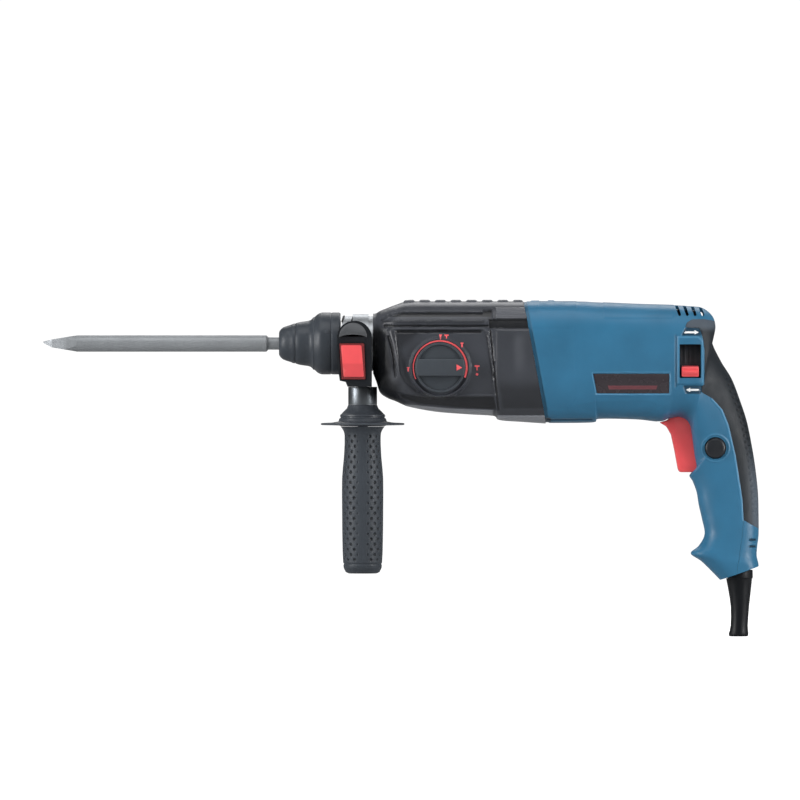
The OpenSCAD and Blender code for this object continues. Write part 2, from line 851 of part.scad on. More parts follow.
module side_grip() {
    top = -65.4;
    end = top - grip_length;
    color(grip_grey) turned_z([
        [4.4, top], [13, top], [13.9, top - 4], [14.2, -79], [14.7, -89], [15.6, -98], [16.3, -106],
        [16.4, -118], [16.3, -131], [16.2, -146], [15.8, end + 17], [15, end + 5], [13.6, end + 1.4], [11, end],
        [0, end], [0, -78], [4.4, -78]
    ], handle_x);
}

module side_guard() {
    color(grip_grey) turned_z([
        [4.3, -48.3], [11.6, -48.3], [12.2, -51], [16.8, -55], [18.4, -58], [18.8, -61],
        [guard_r - 1, -61.4], [guard_r, -62.6], [guard_r - 0.4, -64.2], [guard_r - 2, -65], [4.3, -65.2]
    ], handle_x);
}

gear_housing();
front_collar();
bearing_bracket();
bearing_flange();
motor_housing();
handle_cover();
rear_grip();
name_plate();
rating_plate();
stator_core();
field_coils();
air_baffle();
rear_bearing_bridge();
armature_bearings();
layshaft_bearings();
spindle_bearings();
spindle_seal();
switch_body();
capacitor();
trigger_pin();
cord_boot();
cord_clamp();
housing_screws();
handle_screws();
chisel();
spindle();
locking_balls();
spring_seat();
dust_cap();
locking_sleeve();
locking_ring();
chuck_spring();
impact_bolt();
ram();
piston();
piston_rings();
piston_trunnion();
wobble_ring();
wobble_balls();
layshaft();
spindle_gear();
clutch_sleeve();
shift_fork();
selector_knob();
armature();
armature_core();
armature_windings();
commutator();
fan();
brush_ring();
direction_knob();
carbon_brushes();
trigger();
lock_button();
clamp_base();
handle_stem();
clamp_strap();
depth_button();
side_grip();
side_guard();
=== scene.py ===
"""Looks of the rotary hammer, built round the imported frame. Outlines are in millimetres in the frame's axes:
+X to the rear, +Y to the right-hand side, +Z up. Meshes are stored in metres."""
import json
import math

import bmesh
import bpy
import numpy as np
from mathutils.bvhtree import BVHTree
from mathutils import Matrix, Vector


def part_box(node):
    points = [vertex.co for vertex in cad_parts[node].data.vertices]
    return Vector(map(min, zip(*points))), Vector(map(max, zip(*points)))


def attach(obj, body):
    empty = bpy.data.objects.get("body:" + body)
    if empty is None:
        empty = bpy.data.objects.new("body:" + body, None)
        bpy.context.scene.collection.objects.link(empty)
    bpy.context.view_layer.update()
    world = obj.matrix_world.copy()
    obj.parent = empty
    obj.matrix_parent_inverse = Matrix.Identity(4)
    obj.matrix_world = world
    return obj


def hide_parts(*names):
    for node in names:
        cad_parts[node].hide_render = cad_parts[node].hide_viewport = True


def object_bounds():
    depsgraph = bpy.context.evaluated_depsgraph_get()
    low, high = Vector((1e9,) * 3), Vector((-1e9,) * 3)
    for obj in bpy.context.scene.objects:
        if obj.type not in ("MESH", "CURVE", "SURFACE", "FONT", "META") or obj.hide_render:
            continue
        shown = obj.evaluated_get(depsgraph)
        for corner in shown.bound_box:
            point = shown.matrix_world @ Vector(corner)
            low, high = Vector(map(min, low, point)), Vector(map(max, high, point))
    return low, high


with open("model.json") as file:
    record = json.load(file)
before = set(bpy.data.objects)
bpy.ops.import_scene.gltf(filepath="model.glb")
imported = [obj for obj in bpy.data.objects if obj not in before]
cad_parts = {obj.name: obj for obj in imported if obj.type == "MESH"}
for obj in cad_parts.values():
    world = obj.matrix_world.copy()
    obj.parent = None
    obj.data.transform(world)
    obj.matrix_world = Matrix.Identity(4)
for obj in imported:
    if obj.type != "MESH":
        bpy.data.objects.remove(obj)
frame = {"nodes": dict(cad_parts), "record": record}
cad_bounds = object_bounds()
nodes = frame["nodes"]

MM = 0.001
LEFT = -1
RIGHT = 1


# ---- Camera, light and floor ----

def centre_of(box):
    low, high = box
    return [(low[k] + high[k]) / 2 for k in range(3)]


def add_camera():
    """A long lens, square to the left side."""
    view_width, middle_x, middle_z = 629.6, 95.2, -44.5
    lens, sensor = 500, 36
    data = bpy.data.cameras.new("camera")
    data.lens = lens
    data.sensor_width = sensor
    camera = bpy.data.objects.new("camera", data)
    bpy.context.scene.collection.objects.link(camera)
    camera.location = (middle_x * MM, -view_width * MM * lens / sensor, middle_z * MM)
    camera.rotation_euler = (math.pi / 2, 0, 0)
    bpy.context.scene.camera = camera


def aim(obj, target):
    direction = [target[k] - obj.location[k] for k in range(3)]
    flat = math.hypot(direction[0], direction[1])
    obj.rotation_euler = (math.atan2(flat, -direction[2]), 0, math.atan2(-direction[0], direction[1]))


def add_light(name, location, size, power, target):
    data = bpy.data.lights.new(name, "AREA")
    data.shape = "RECTANGLE"
    data.size, data.size_y = size
    data.energy = power
    light = bpy.data.objects.new(name, data)
    bpy.context.scene.collection.objects.link(light)
    light.location = location
    aim(light, target)
    return light


def add_studio():
    middle = centre_of(cad_bounds)
    add_light("key_top", (middle[0] - 0.2, -0.6, 1.5), (1.8, 0.9), 12.5, middle)
    add_light("strip_left", (middle[0] - 1.6, -0.75, 0.1), (0.5, 1.5), 35, middle)
    add_light("strip_right", (middle[0] + 1.6, -0.75, 0.05), (0.5, 1.5), 31, middle)
    add_light("back_top", (middle[0] + 0.2, 1.4, 1.2), (1.6, 1.0), 12, middle)
    fill = add_light("front", (middle[0], -2.4, 0.1), (2.6, 1.2), 9, middle)
    fill.visible_glossy = False
    world = bpy.data.worlds.new("studio")
    bpy.context.scene.world = world
    world.use_nodes = True
    tree = world.node_tree
    surface = tree.nodes["Background"]
    surface.inputs["Color"].default_value = (1, 1, 1, 1)
    surface.inputs["Strength"].default_value = 0.1
    seen = tree.nodes.new("ShaderNodeBackground")
    seen.inputs["Color"].default_value = (1, 1, 1, 1)
    seen.inputs["Strength"].default_value = 1.05
    path = tree.nodes.new("ShaderNodeLightPath")
    mix = tree.nodes.new("ShaderNodeMixShader")
    tree.links.new(path.outputs["Is Camera Ray"], mix.inputs["Fac"])
    tree.links.new(surface.outputs["Background"], mix.inputs[1])
    tree.links.new(seen.outputs["Background"], mix.inputs[2])
    tree.links.new(mix.outputs["Shader"], tree.nodes["World Output"].inputs["Surface"])
    bpy.context.scene.view_settings.view_transform = "Standard"


def paper(middle):
    """White paper with no visible horizon, which throws little light back up at the tool. Its glow dims close
    under the tool, a painted soft shadow.
    """
    surface = Surface("floor_paper", (0.88, 0.88, 0.88), 0.8)
    away = surface.node("ShaderNodeVectorMath")
    away.operation = "DISTANCE"
    away.inputs[1].default_value = (middle[0], middle[1], cad_bounds[0][2])
    surface.link(surface.coords, away.inputs[0])
    # Dimmer glow near the tool: a painted soft shadow under it.
    glow_with_painted_shadow = surface.ranged(away.outputs["Value"], (0.3, 1.6), (0.78, 1.0))
    seen = surface.node("ShaderNodeLightPath").outputs["Is Camera Ray"]
    surface.color = surface.mixed(seen, (0.42, 0.42, 0.42), surface.color)
    surface.shader.inputs["Emission Color"].default_value = (1, 1, 1, 1)
    surface.link(surface.math("MULTIPLY", glow_with_painted_shadow, seen), surface.shader.inputs["Emission Strength"])
    return surface.done()


def add_floor():
    """A wide white disc just under the lowest point."""
    radius = 6.0
    count = 96
    low = cad_bounds[0][2] - 0.002
    middle = centre_of(cad_bounds)
    ring = [2 * math.pi * k / count for k in range(count)]
    verts = [(middle[0] + radius * math.cos(a), middle[1] + radius * math.sin(a), low) for a in ring]
    mesh = bpy.data.meshes.new("floor")
    mesh.from_pydata(verts, [], [list(range(count))])
    floor = bpy.data.objects.new("floor", mesh)
    bpy.context.scene.collection.objects.link(floor)
    mesh.materials.append(paper(middle))


# ---- Materials ----

def new_material(name):
    material = bpy.data.materials.new(name)
    material.use_nodes = True
    return material, material.node_tree.nodes["Principled BSDF"]


class Surface:
    """A procedural material that is built up in layers on one Principled shader."""

    def __init__(self, name, color, rough, metallic=0.0, specular=0.5, coat=0.0):
        self.material, self.shader = new_material(name)
        self.tree = self.material.node_tree
        self.coords = self.node("ShaderNodeTexCoord").outputs["Object"]
        self.shader.inputs["Metallic"].default_value = metallic
        self.shader.inputs["Specular IOR Level"].default_value = specular
        self.shader.inputs["Coat Weight"].default_value = coat
        self.shader.inputs["Coat Roughness"].default_value = 0.15
        self.color = self.mottle(color, 0.1, 34)
        self.rough = self.spread(rough, 0.06, 160)
        self.height = None

    def node(self, kind):
        return self.tree.nodes.new(kind)

    def link(self, out, socket):
        self.tree.links.new(out, socket)

    def noise(self, scale, detail=4.0, stretch=(1, 1, 1)):
        mapping = self.node("ShaderNodeMapping")
        mapping.inputs["Scale"].default_value = stretch
        self.link(self.coords, mapping.inputs["Vector"])
        noise = self.node("ShaderNodeTexNoise")
        noise.inputs["Scale"].default_value = scale
        noise.inputs["Detail"].default_value = detail
        self.link(mapping.outputs["Vector"], noise.inputs["Vector"])
        return noise.outputs["Fac"]

    def ranged(self, value, from_range, to_range):
        ramp = self.node("ShaderNodeMapRange")
        ramp.inputs["From Min"].default_value, ramp.inputs["From Max"].default_value = from_range
        ramp.inputs["To Min"].default_value, ramp.inputs["To Max"].default_value = to_range
        self.link(value, ramp.inputs["Value"])
        return ramp.outputs["Result"]

    def math(self, operation, a, b=None):
        step = self.node("ShaderNodeMath")
        step.operation = operation
        for k, value in enumerate((a, b)):
            if isinstance(value, (int, float)):
                step.inputs[k].default_value = value
            elif value is not None:
                self.link(value, step.inputs[k])
        return step.outputs["Value"]

    def mixed(self, factor, a, b):
        mix = self.node("ShaderNodeMix")
        mix.data_type = "RGBA"
        self.link(factor, mix.inputs["Factor"])
        for socket, value in ((mix.inputs["A"], a), (mix.inputs["B"], b)):
            if isinstance(value, tuple):
                socket.default_value = (*value, 1)
            else:
                self.link(value, socket)
        return mix.outputs["Result"]

    def mottle(self, color, amount, scale):
        """The base colour with a slow, slight variation over the surface."""
        share = self.ranged(self.noise(scale), (0.3, 0.7), (0, 1))
        return self.mixed(share, scaled(color, 1 - amount), scaled(color, 1 + amount))

    def spread(self, rough, amount, scale):
        return self.ranged(self.noise(scale), (0.3, 0.7), (rough - amount, rough + amount))

    def grain(self, scale, strength, detail=3.0, stretch=(1, 1, 1)):
        """Adds fine bumps to the height of the surface."""
        bumps = self.math("MULTIPLY", self.noise(scale, detail, stretch), strength)
        self.height = bumps if self.height is None else self.math("ADD", self.height, bumps)

    def tint(self, attribute, color):
        """Blends in another colour where the mesh's attribute is 1."""
        source = self.node("ShaderNodeAttribute")
        source.attribute_name = attribute
        self.color = self.mixed(source.outputs["Fac"], self.color, color)

    def painted_edge_highlights(self, color, amount):
        """Slightly paler corners, a painted highlight where edges catch the light."""
        source = self.node("ShaderNodeNewGeometry")
        edge = self.ranged(source.outputs["Pointiness"], (0.52, 0.6), (0, amount))
        self.color = self.mixed(edge, self.color, color)

    def done(self, bump_distance=0.0002):
        self.link(self.color, self.shader.inputs["Base Color"])
        self.link(self.rough, self.shader.inputs["Roughness"])
        if self.height is not None:
            bump = self.node("ShaderNodeBump")
            bump.inputs["Distance"].default_value = bump_distance
            bump.inputs["Strength"].default_value = 0.6
            self.link(self.height, bump.inputs["Height"])
            self.link(bump.outputs["Normal"], self.shader.inputs["Normal"])
        return self.material


def scaled(color, factor, lift=0.0):
    return tuple(min(1, c * factor + lift) for c in color)


def moulded(name, color, rough, grain=0.5, specular=0.4, edge=None, coat=0.0):
    """Moulded plastic with a fine spark-eroded grain."""
    surface = Surface(name, color, rough, specular=specular, coat=coat)
    surface.grain(1900, grain)
    surface.grain(420, grain * 0.5)
    # The dark and light shares from the reliefs are mostly painted shade and painted highlights.
    surface.tint("dark", scaled(color, 0.12))
    surface.tint("light", scaled(color, 3, 0.13))
    surface.painted_edge_highlights(edge or scaled(color, 1.5, 0.01), 0.35)
    return surface.done()


def rubber(name, color, rough=0.62):
    surface = Surface(name, color, rough, specular=0.25)
    surface.grain(2600, 0.8)
    # The dark and light shares from the reliefs are mostly painted shade and painted highlights.
    surface.tint("dark", scaled(color, 0.15))
    surface.tint("light", scaled(color, 6))
    surface.painted_edge_highlights(scaled(color, 1.7), 0.3)
    return surface.done()


def metal(name, color, rough, grain=0.3, scale=900, stretch=(1, 1, 1)):
    surface = Surface(name, color, rough, metallic=1.0)
    surface.grain(scale, grain, 4.0, stretch)
    surface.tint("dark", scaled(color, 0.2))
    surface.painted_edge_highlights(scaled(color, 1.4), 0.3)
    return surface.done()


def blasted(name, color, rough):
    """Forged steel with a sand-blasted, slightly speckled face."""
    surface = Surface(name, color, rough, metallic=0.5)
    speckle = surface.ranged(surface.noise(1500, 2.0), (0.45, 0.75), (0, 0.5))
    surface.color = surface.mixed(speckle, surface.color, scaled(color, 1.5))
    surface.grain(1300, 1.0)
    surface.grain(300, 0.5)
    surface.painted_edge_highlights(scaled(color, 1.6), 0.5)
    return surface.done(0.0003)


def stacked(name, color, pitch):
    """Thin sheets or windings, laid side by side along the tool."""
    surface = Surface(name, color, 0.42, metallic=0.9)
    along = surface.node("ShaderNodeSeparateXYZ")
    surface.link(surface.coords, along.inputs["Vector"])
    wave = surface.math("SINE", surface.math("MULTIPLY", along.outputs["X"], 2 * math.pi / pitch))
    surface.height = surface.math("MULTIPLY", wave, 0.5)
    line = surface.ranged(wave, (-1, -0.4), (0.6, 0))
    surface.color = surface.mixed(line, surface.color, scaled(color, 0.3))
    surface.grain(800, 0.4)
    return surface.done()


BLUE = (0.029, 0.15, 0.272)
GREY = (0.017, 0.021, 0.026)
RED = (0.88, 0.095, 0.105)

MATERIALS = {
    "gear_housing_black": moulded("gear_housing_black", (0.046, 0.05, 0.06), 0.36, 0.5),
    "collar_metal": metal("collar_metal", (0.42, 0.44, 0.46), 0.42, 0.4, 500, (1, 12, 12)),
    "inner_metal": metal("inner_metal", (0.55, 0.56, 0.57), 0.5, 0.8, 400),
    "housing_blue": moulded("housing_blue", BLUE, 0.4, 0.6, edge=(0.07, 0.25, 0.4)),
    "soft_grip": rubber("soft_grip", GREY, 0.5),
    "name_plate": moulded("name_plate", (0.036, 0.029, 0.034), 0.25, 0.1, coat=0.3),
    "rating_plate": metal("rating_plate", (0.4, 0.42, 0.44), 0.38, 0.3, 600, (1, 30, 30)),
    "lamination_steel": stacked("lamination_steel", (0.2, 0.2, 0.21), 0.0012),
    "copper_winding": stacked("copper_winding", (0.6, 0.27, 0.1), 0.0016),
    "inner_plastic": moulded("inner_plastic", (0.03, 0.03, 0.034), 0.5, 0.5),
    "gear_steel": metal("gear_steel", (0.42, 0.43, 0.45), 0.28, 0.3, 700),
    "seal_rubber": rubber("seal_rubber", (0.02, 0.02, 0.02)),
    "capacitor_plastic": moulded("capacitor_plastic", (0.55, 0.45, 0.12), 0.35, 0.2),
    "boot_rubber": rubber("boot_rubber", (0.004, 0.005, 0.007), 0.42),
    "screw_steel": metal("screw_steel", (0.4, 0.4, 0.42), 0.32, 0.3, 900),
    "chisel_steel": blasted("chisel_steel", (0.27, 0.285, 0.3), 0.5),
    "chuck_black": moulded("chuck_black", (0.042, 0.049, 0.059), 0.38, 0.5, specular=0.28),
    "spring_steel": metal("spring_steel", (0.3, 0.31, 0.33), 0.35, 0.2, 900),
    "knob_black": moulded("knob_black", (0.05, 0.058, 0.068), 0.42, 0.6, specular=0.22),
    "control_red": moulded("control_red", RED, 0.34, 0.35, edge=(0.9, 0.2, 0.2)),
    "brush_carbon": metal("brush_carbon", (0.03, 0.03, 0.03), 0.5, 0.8, 700),
    "button_black": moulded("button_black", (0.016, 0.018, 0.022), 0.36, 0.4),
    # clamp_black is set darker than the black plastic, painted shade for the clamp's shaded sides.
    "clamp_black": moulded("clamp_black", (0.011, 0.013, 0.016), 0.4, 0.6, specular=0.22),
    "stem_metal": metal("stem_metal", (0.17, 0.185, 0.2), 0.36, 0.3, 500, (12, 12, 1)),
    "strap_steel": metal("strap_steel", (0.36, 0.38, 0.4), 0.42, 0.3, 500, (1, 10, 10)),
    "side_grip_rubber": rubber("side_grip_rubber", (0.047, 0.055, 0.066), 0.42),
    "side_guard_plastic": moulded("side_guard_plastic", (0.055, 0.063, 0.075), 0.36, 0.5),
    "marking_white": moulded("marking_white", (0.85, 0.87, 0.88), 0.45, 0.2),
    "marking_red": moulded("marking_red", (0.82, 0.1, 0.11), 0.4, 0.2),
    "plate_red": moulded("plate_red", (0.13, 0.04, 0.048), 0.35, 0.1),
}


# ---- Mesh helpers ----

def link_mesh(name, verts, faces):
    """An object from corners in millimetres."""
    mesh = bpy.data.meshes.new(name)
    mesh.from_pydata([tuple(v) for v in np.asarray(verts, float) * MM], [], faces)
    mesh.validate()
    obj = bpy.data.objects.new(name, mesh)
    bpy.context.scene.collection.objects.link(obj)
    return obj


def settle(obj):
    """Applies every modifier."""
    graph = bpy.context.evaluated_depsgraph_get()
    mesh = bpy.data.meshes.new_from_object(obj.evaluated_get(graph))
    old = obj.data
    obj.modifiers.clear()
    obj.data = mesh
    bpy.data.meshes.remove(old)
    return obj


def carve(obj, *cutters, how="DIFFERENCE"):
    for cutter in cutters:
        step = obj.modifiers.new("carve", "BOOLEAN")
        step.operation = how
        step.solver = "MANIFOLD"
        step.object = cutter
    settle(obj)
    for cutter in cutters:
        bpy.data.objects.remove(cutter)
    return obj


def soften(obj, width, segments=3, angle=30):
    """Rounds every edge sharper than an angle."""
    step = obj.modifiers.new("soften", "BEVEL")
    step.width = width * MM
    step.segments = segments
    step.limit_method = "ANGLE"
    step.angle_limit = math.radians(angle)
    step.use_clamp_overlap = True
    return settle(obj)


def finish_piece(obj, body, slot, replaced=(), crisp=38, material=None):
    """Gives a piece its body, material and shading, taking the material named by the slot unless another is
    given.
    """
    obj.data.materials.clear()
    obj.data.materials.append(MATERIALS[material or slot])
    obj.data.polygons.foreach_set("use_smooth", [True] * len(obj.data.polygons))
    obj.data.set_sharp_from_angle(angle=math.radians(crisp))
    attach(obj, body)
    if replaced:
        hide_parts(*replaced)
    return obj


def grid_faces(rows, columns):
    """Quads over rings that close on themselves, with a cap at each end."""
    faces = [list(range(columns)), [(rows - 1) * columns + k for k in reversed(range(columns))]]
    for i in range(rows - 1):
        for k in range(columns):
            n = (k + 1) % columns
            faces.append([i * columns + k, (i + 1) * columns + k, (i + 1) * columns + n, i * columns + n])
    return faces


def solid_of_rings(name, rings):
    rings = np.asarray(rings, float)
    rows, columns = rings.shape[:2]
    return link_mesh(name, rings.reshape(-1, 3), grid_faces(rows, columns))


def prism(name, outline, y0, y1):
    """An outline of x and z, extruded along Y."""
    area = sum(a[0] * b[1] - b[0] * a[1] for a, b in zip(outline, outline[1:] + outline[:1]))
    points = outline if area > 0 else outline[::-1]
    low, high = sorted((y0, y1))
    return solid_of_rings(name, [[(p[0], y, p[1]) for p in points] for y in (low, high)])


def prism_x(name, outline, x0, x1):
    """An outline of y and z, extruded along X."""
    area = sum(a[0] * b[1] - b[0] * a[1] for a, b in zip(outline, outline[1:] + outline[:1]))
    points = outline if area < 0 else outline[::-1]
    return solid_of_rings(name, [[(x, p[0], p[1]) for p in points] for x in sorted((x0, x1))])


def box_outline(x0, x1, z0, z1):
    return [(x0, z0), (x1, z0), (x1, z1), (x0, z1)]


def block(name, low, high):
    return prism(name, box_outline(low[0], high[0], low[2], high[2]), low[1], high[1])


def lathe(name, profile, axis, centre, count=96):
    """A closed profile of (place along the axis, radius), turned about X, Y or Z through a centre."""
    profile = np.asarray(profile, float)
    angles = np.arange(count) * 2 * math.pi / count
    along, across, up = {"x": (0, 1, 2), "y": (1, 2, 0), "z": (2, 0, 1)}[axis]
    rings = np.zeros((len(profile), count, 3))
    rings[:, :, along] = profile[:, :1]
    rings[:, :, across] = profile[:, 1:] * np.cos(angles)
    rings[:, :, up] = profile[:, 1:] * np.sin(angles)
    rings += np.asarray(centre, float)
    rows = len(profile)
    faces = []
    for i in range(rows):
        j = (i + 1) % rows
        for k in range(count):
            n = (k + 1) % count
            faces.append([i * count + k, i * count + n, j * count + n, j * count + k])
    obj = link_mesh(name, rings.reshape(-1, 3), faces)
    mesh = bmesh.new()
    mesh.from_mesh(obj.data)
    bmesh.ops.remove_doubles(mesh, verts=mesh.verts, dist=1e-7)
    bmesh.ops.dissolve_degenerate(mesh, dist=1e-7, edges=mesh.edges)
    bmesh.ops.recalc_face_normals(mesh, faces=mesh.faces)
    mesh.to_mesh(obj.data)
    mesh.free()
    return obj


def rod(name, low, high, radius, axis, centre=(0, 0, 0), count=96):
    """A plain round bar, used as a cutter or joined to a larger piece."""
    return lathe(name, [(low, 0), (high, 0), (high, radius), (low, radius)], axis, centre, count)


def arc(centre, radius, start, end, count):
    """Points on an arc, in degrees."""
    angles = [math.radians(start + (end - start) * k / (count - 1)) for k in range(count)]
    return [(centre[0] + radius * math.cos(a), centre[1] + radius * math.sin(a)) for a in angles]


def rounded(points, radius):
    """An outline with each corner rounded."""
    steps = 4
    result = []
    count = len(points)
    for k in range(count):
        corner = np.array(points[k], float)
        before = np.array(points[k - 1], float) - corner
        after = np.array(points[(k + 1) % count], float) - corner
        reach = min(radius, np.linalg.norm(before) / 2.2, np.linalg.norm(after) / 2.2)
        start = corner + before / np.linalg.norm(before) * reach
        end = corner + after / np.linalg.norm(after) * reach
        for t in np.linspace(0, 1, steps + 1):
            result.append(tuple((1 - t) ** 2 * start + 2 * t * (1 - t) * corner + t * t * end))
    return result


# ---- Skins of the barrel and the handle, from the same stations as the CAD ----

# x, top, bottom, half width, squareness
BARREL_ROWS = [
    [74, 23.4, -23.6, 23.6, 2], [76.5, 23.8, -30, 26, 2.1], [79.5, 25.6, -38.6, 29, 2.3],
    [85, 27.8, -42.8, 32, 2.6], [92, 30.5, -45.6, 34, 2.9], [101.5, 33, -49.4, 35, 3],
    [123.5, 33.1, -53.5, 35.8, 3.1], [150, 33.1, -55.6, 36, 3.2], [168, 33.1, -56.8, 36, 3.2],
    [174, 33.1, -59.9, 37, 3.2], [193, 33.1, -61.4, 37.8, 3.3], [214, 33.1, -62.8, 38, 3.4]
]
# inner x, z; outer x, z; half width; squareness
HANDLE_ROWS = [
    [209.8, -62.6, 192.1, 33.1, 38, 3.4], [246, -62.2, 236, 33, 38, 3.4], [252, -59.4, 247, 32.5, 38, 3.4],
    [281, -59.8, 281, 31, 37.6, 3.3], [299, -61.5, 308, 30.2, 36.5, 3.2], [307, -59.2, 322, 29.4, 35.5, 3],
    [314.5, -58.2, 333, 28, 34.5, 2.8], [320, -60.5, 341, 21.5, 33, 2.6], [323, -65, 343.4, 12.5, 31, 2.5],
    [324.3, -72, 340.6, 2, 28.5, 2.4], [325.2, -80, 347.5, -13.5, 25.5, 2.4],
    [326.2, -90, 356.3, -28, 22.5, 2.4], [327, -99, 363.2, -46, 20, 2.4],
    [323, -103.8, 368.2, -61.5, 18.6, 2.5], [325.5, -108.5, 371.8, -79, 17.8, 2.5],
    [328.6, -117, 374.6, -96, 17.2, 2.5], [330.3, -127, 376.9, -117, 17, 2.5],
    [332.8, -138, 377.4, -135, 17, 2.5], [334.9, -150, 377.4, -150, 17.3, 2.6],
    [330.4, -159, 376.3, -160, 18, 2.7], [324, -165.3, 375.9, -167, 18.6, 2.8],
    [333, -172, 377.2, -172.8, 18.8, 2.8], [347, -186, 377.4, -175.2, 17.5, 2.8]
]
# Front edge of the soft rear grip, from the hood down, and the line behind the handle
GRIP_EDGE = [
    (334, 19), (324.3, 18.8), (320.4, 16.4), (318.9, 13.2), (320.2, 12.2), (329.8, 11.8), (331.2, 8.5),
    (333, 2.5), (333.9, -6), (333.9, -32.4), (331.9, -33.6), (331.6, -38.3), (340.8, -43.7), (348.6, -52.3),
    (353.4, -64.1), (358.9, -87.8), (364.4, -123.2), (365.2, -138.9), (376.2, -145.2)
]
GRIP_BEAD = GRIP_EDGE[12:18]
GRIP_BACK = [(392, -145.2), (392, -80), (384, -44), (375, -28), (360, 16.4), (343, 17.6)]
COVER_EDGE = [(365.2, -138.9), (364, -150), (362, -165), (360, -178), (359, -192)]
COVER_BACK = [(392, -190), (392, -138.9)]
SEAM_X = 198.2
SEAM_LEAN = 0.185
WALL = 3.0
PARTING = 0.2
BOOT_X = 362


def joint_place(name):
    """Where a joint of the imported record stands, in millimetres."""
    joints = frame["record"]["behaviour"]["joints"]
    place = next(joint["pos_m"] for joint in joints if joint["name"] == name)
    return [round(value / MM, 3) for value in place]


KNOB = joint_place("selector_turn")[::2]
LOCK = [round(value / MM, 1) for value in centre_of(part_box("lock_button"))][::2]
MOTOR_Z = joint_place("armature_spin")[2]
HANDLE_X = joint_place("grip_twist")[0]
TRIGGER_PIVOT = joint_place("trigger_pull")


def spline(a, b, c, d, t):
    """A smooth curve from b to c, with a and d as the neighbours that set its slopes."""
    square = 2 * a - 5 * b + 4 * c - d
    cube = 3 * b - a - 3 * c + d
    return 0.5 * (2 * b + (c - a) * t + square * t * t + cube * t ** 3)


def oval(half_u, half_v, squareness, count):
    """A squared oval with its points evenly spaced."""
    a = np.linspace(0, 2 * math.pi, 1441)
    power = 2 / squareness
    u = half_u * np.sign(np.cos(a)) * np.abs(np.cos(a)) ** power
    v = half_v * np.sign(np.sin(a)) * np.abs(np.sin(a)) ** power
    run = np.concatenate([[0], np.cumsum(np.hypot(np.diff(u), np.diff(v)))])
    wanted = run[-1] * (np.arange(count) + 0.5) / count
    return np.interp(wanted, run, u), np.interp(wanted, run, v)


def barrel_ring(row, count, inset=0.0):
    half = (row[1] - row[2]) / 2
    u, v = oval(half - inset, row[3] - inset, row[4], count)
    return np.stack([np.full(count, row[0]), v, (row[1] + row[2]) / 2 + u], axis=1)


def handle_ring(row, count, inset=0.0):
    inner, outer = np.array(row[0:2]), np.array(row[2:4])
    span = np.linalg.norm(outer - inner)
    middle, toward = (inner + outer) / 2, (outer - inner) / span
    u, v = oval(span / 2 - inset, row[4] - inset, row[5], count)
    return np.stack([middle[0] + toward[0] * u, v, middle[1] + toward[1] * u], axis=1)


def rings_through(rows, place, spacing, count, inset=0.0):
    """Rings along a smooth curve through the rows, about one spacing apart."""
    rows = [np.array(row, float) for row in rows]
    rings = []
    for i in range(len(rows) - 1):
        near = [rows[max(i - 1, 0)], rows[i], rows[i + 1], rows[min(i + 2, len(rows) - 1)]]
        gap = np.abs(place(near[2], 8) - place(near[1], 8)).max()
        steps = max(1, math.ceil(gap / spacing))
        rings += [place(spline(*near, k / steps), count, inset) for k in range(steps)]
    rings.append(place(rows[-1], count, inset))
    return np.array(rings)


def outward(rings):
    """Unit normals of a grid of rings."""
    along = np.gradient(rings, axis=0)
    around = np.roll(rings, -1, axis=1) - np.roll(rings, 1, axis=1)
    normal = np.cross(along, around)
    return normal / np.maximum(np.linalg.norm(normal, axis=2, keepdims=True), 1e-9)


# ---- Reliefs: masks over x and z ----

def ease(value, low, high):
    t = np.clip((value - low) / (high - low), 0, 1)
    return t * t * (3 - 2 * t)


def hump(value, low, full, end, high):
    """Rises from low to full, and falls again from end to high."""
    return ease(value, low, full) * (1 - ease(value, end, high))


def line_distance(x, z, points):
    """Distance from the nearest stretch of a broken line."""
    best = np.full(x.shape, 1e9)
    for a, b in zip(points[:-1], points[1:]):
        dx, dz = b[0] - a[0], b[1] - a[1]
        t = np.clip(((x - a[0]) * dx + (z - a[1]) * dz) / (dx * dx + dz * dz), 0, 1)
        best = np.minimum(best, np.hypot(x - a[0] - t * dx, z - a[1] - t * dz))
    return best


def within(x, z, outline, soft=0.7):
    """1 inside an outline, easing to 0 across its edge."""
    inside = np.zeros(x.shape, bool)
    for a, b in zip(outline, outline[1:] + outline[:1]):
        if a[1] != b[1]:
            crossing = (a[1] > z) != (b[1] > z)
            inside ^= crossing & (x < (b[0] - a[0]) * (z - a[1]) / (b[1] - a[1]) + a[0])
    distance = line_distance(x, z, outline + outline[:1])
    signed = np.where(inside, distance, -distance)
    return ease(signed, -soft / 2, soft / 2)


def along_line(x, z, points, half_width, soft=0.7):
    return 1 - ease(line_distance(x, z, points), half_width - soft / 2, half_width + soft / 2)


class Relief:
    """Height over a skin, with the shares of dark and light colour, which are mostly painted shade and painted
    highlights.
    """

    def __init__(self, x, y, z):
        self.x, self.y, self.z = x, y, z
        self.height = np.zeros(x.shape)
        self.dark = np.zeros(x.shape)
        self.light = np.zeros(x.shape)

    def add(self, mask, height=0.0, dark=0.0, light=0.0):
        self.height += mask * height
        self.dark = np.maximum(self.dark, mask * dark)
        self.light = np.maximum(self.light, mask * light)
        if height > 0 and dark == 0:
            self.dark *= 1 - mask

    def area(self, outline, height=0.0, dark=0.0, light=0.0, soft=0.7, side=0):
        self.add(within(self.x, self.z, outline, soft) * self.on(side), height, dark, light)

    def line(self, points, half_width, height=0.0, dark=0.0, light=0.0, soft=0.7, side=0):
        self.add(along_line(self.x, self.z, points, half_width, soft) * self.on(side), height, dark, light)

    def on(self, side):
        return 1.0 if side == 0 else (self.y * side > 0).astype(float)


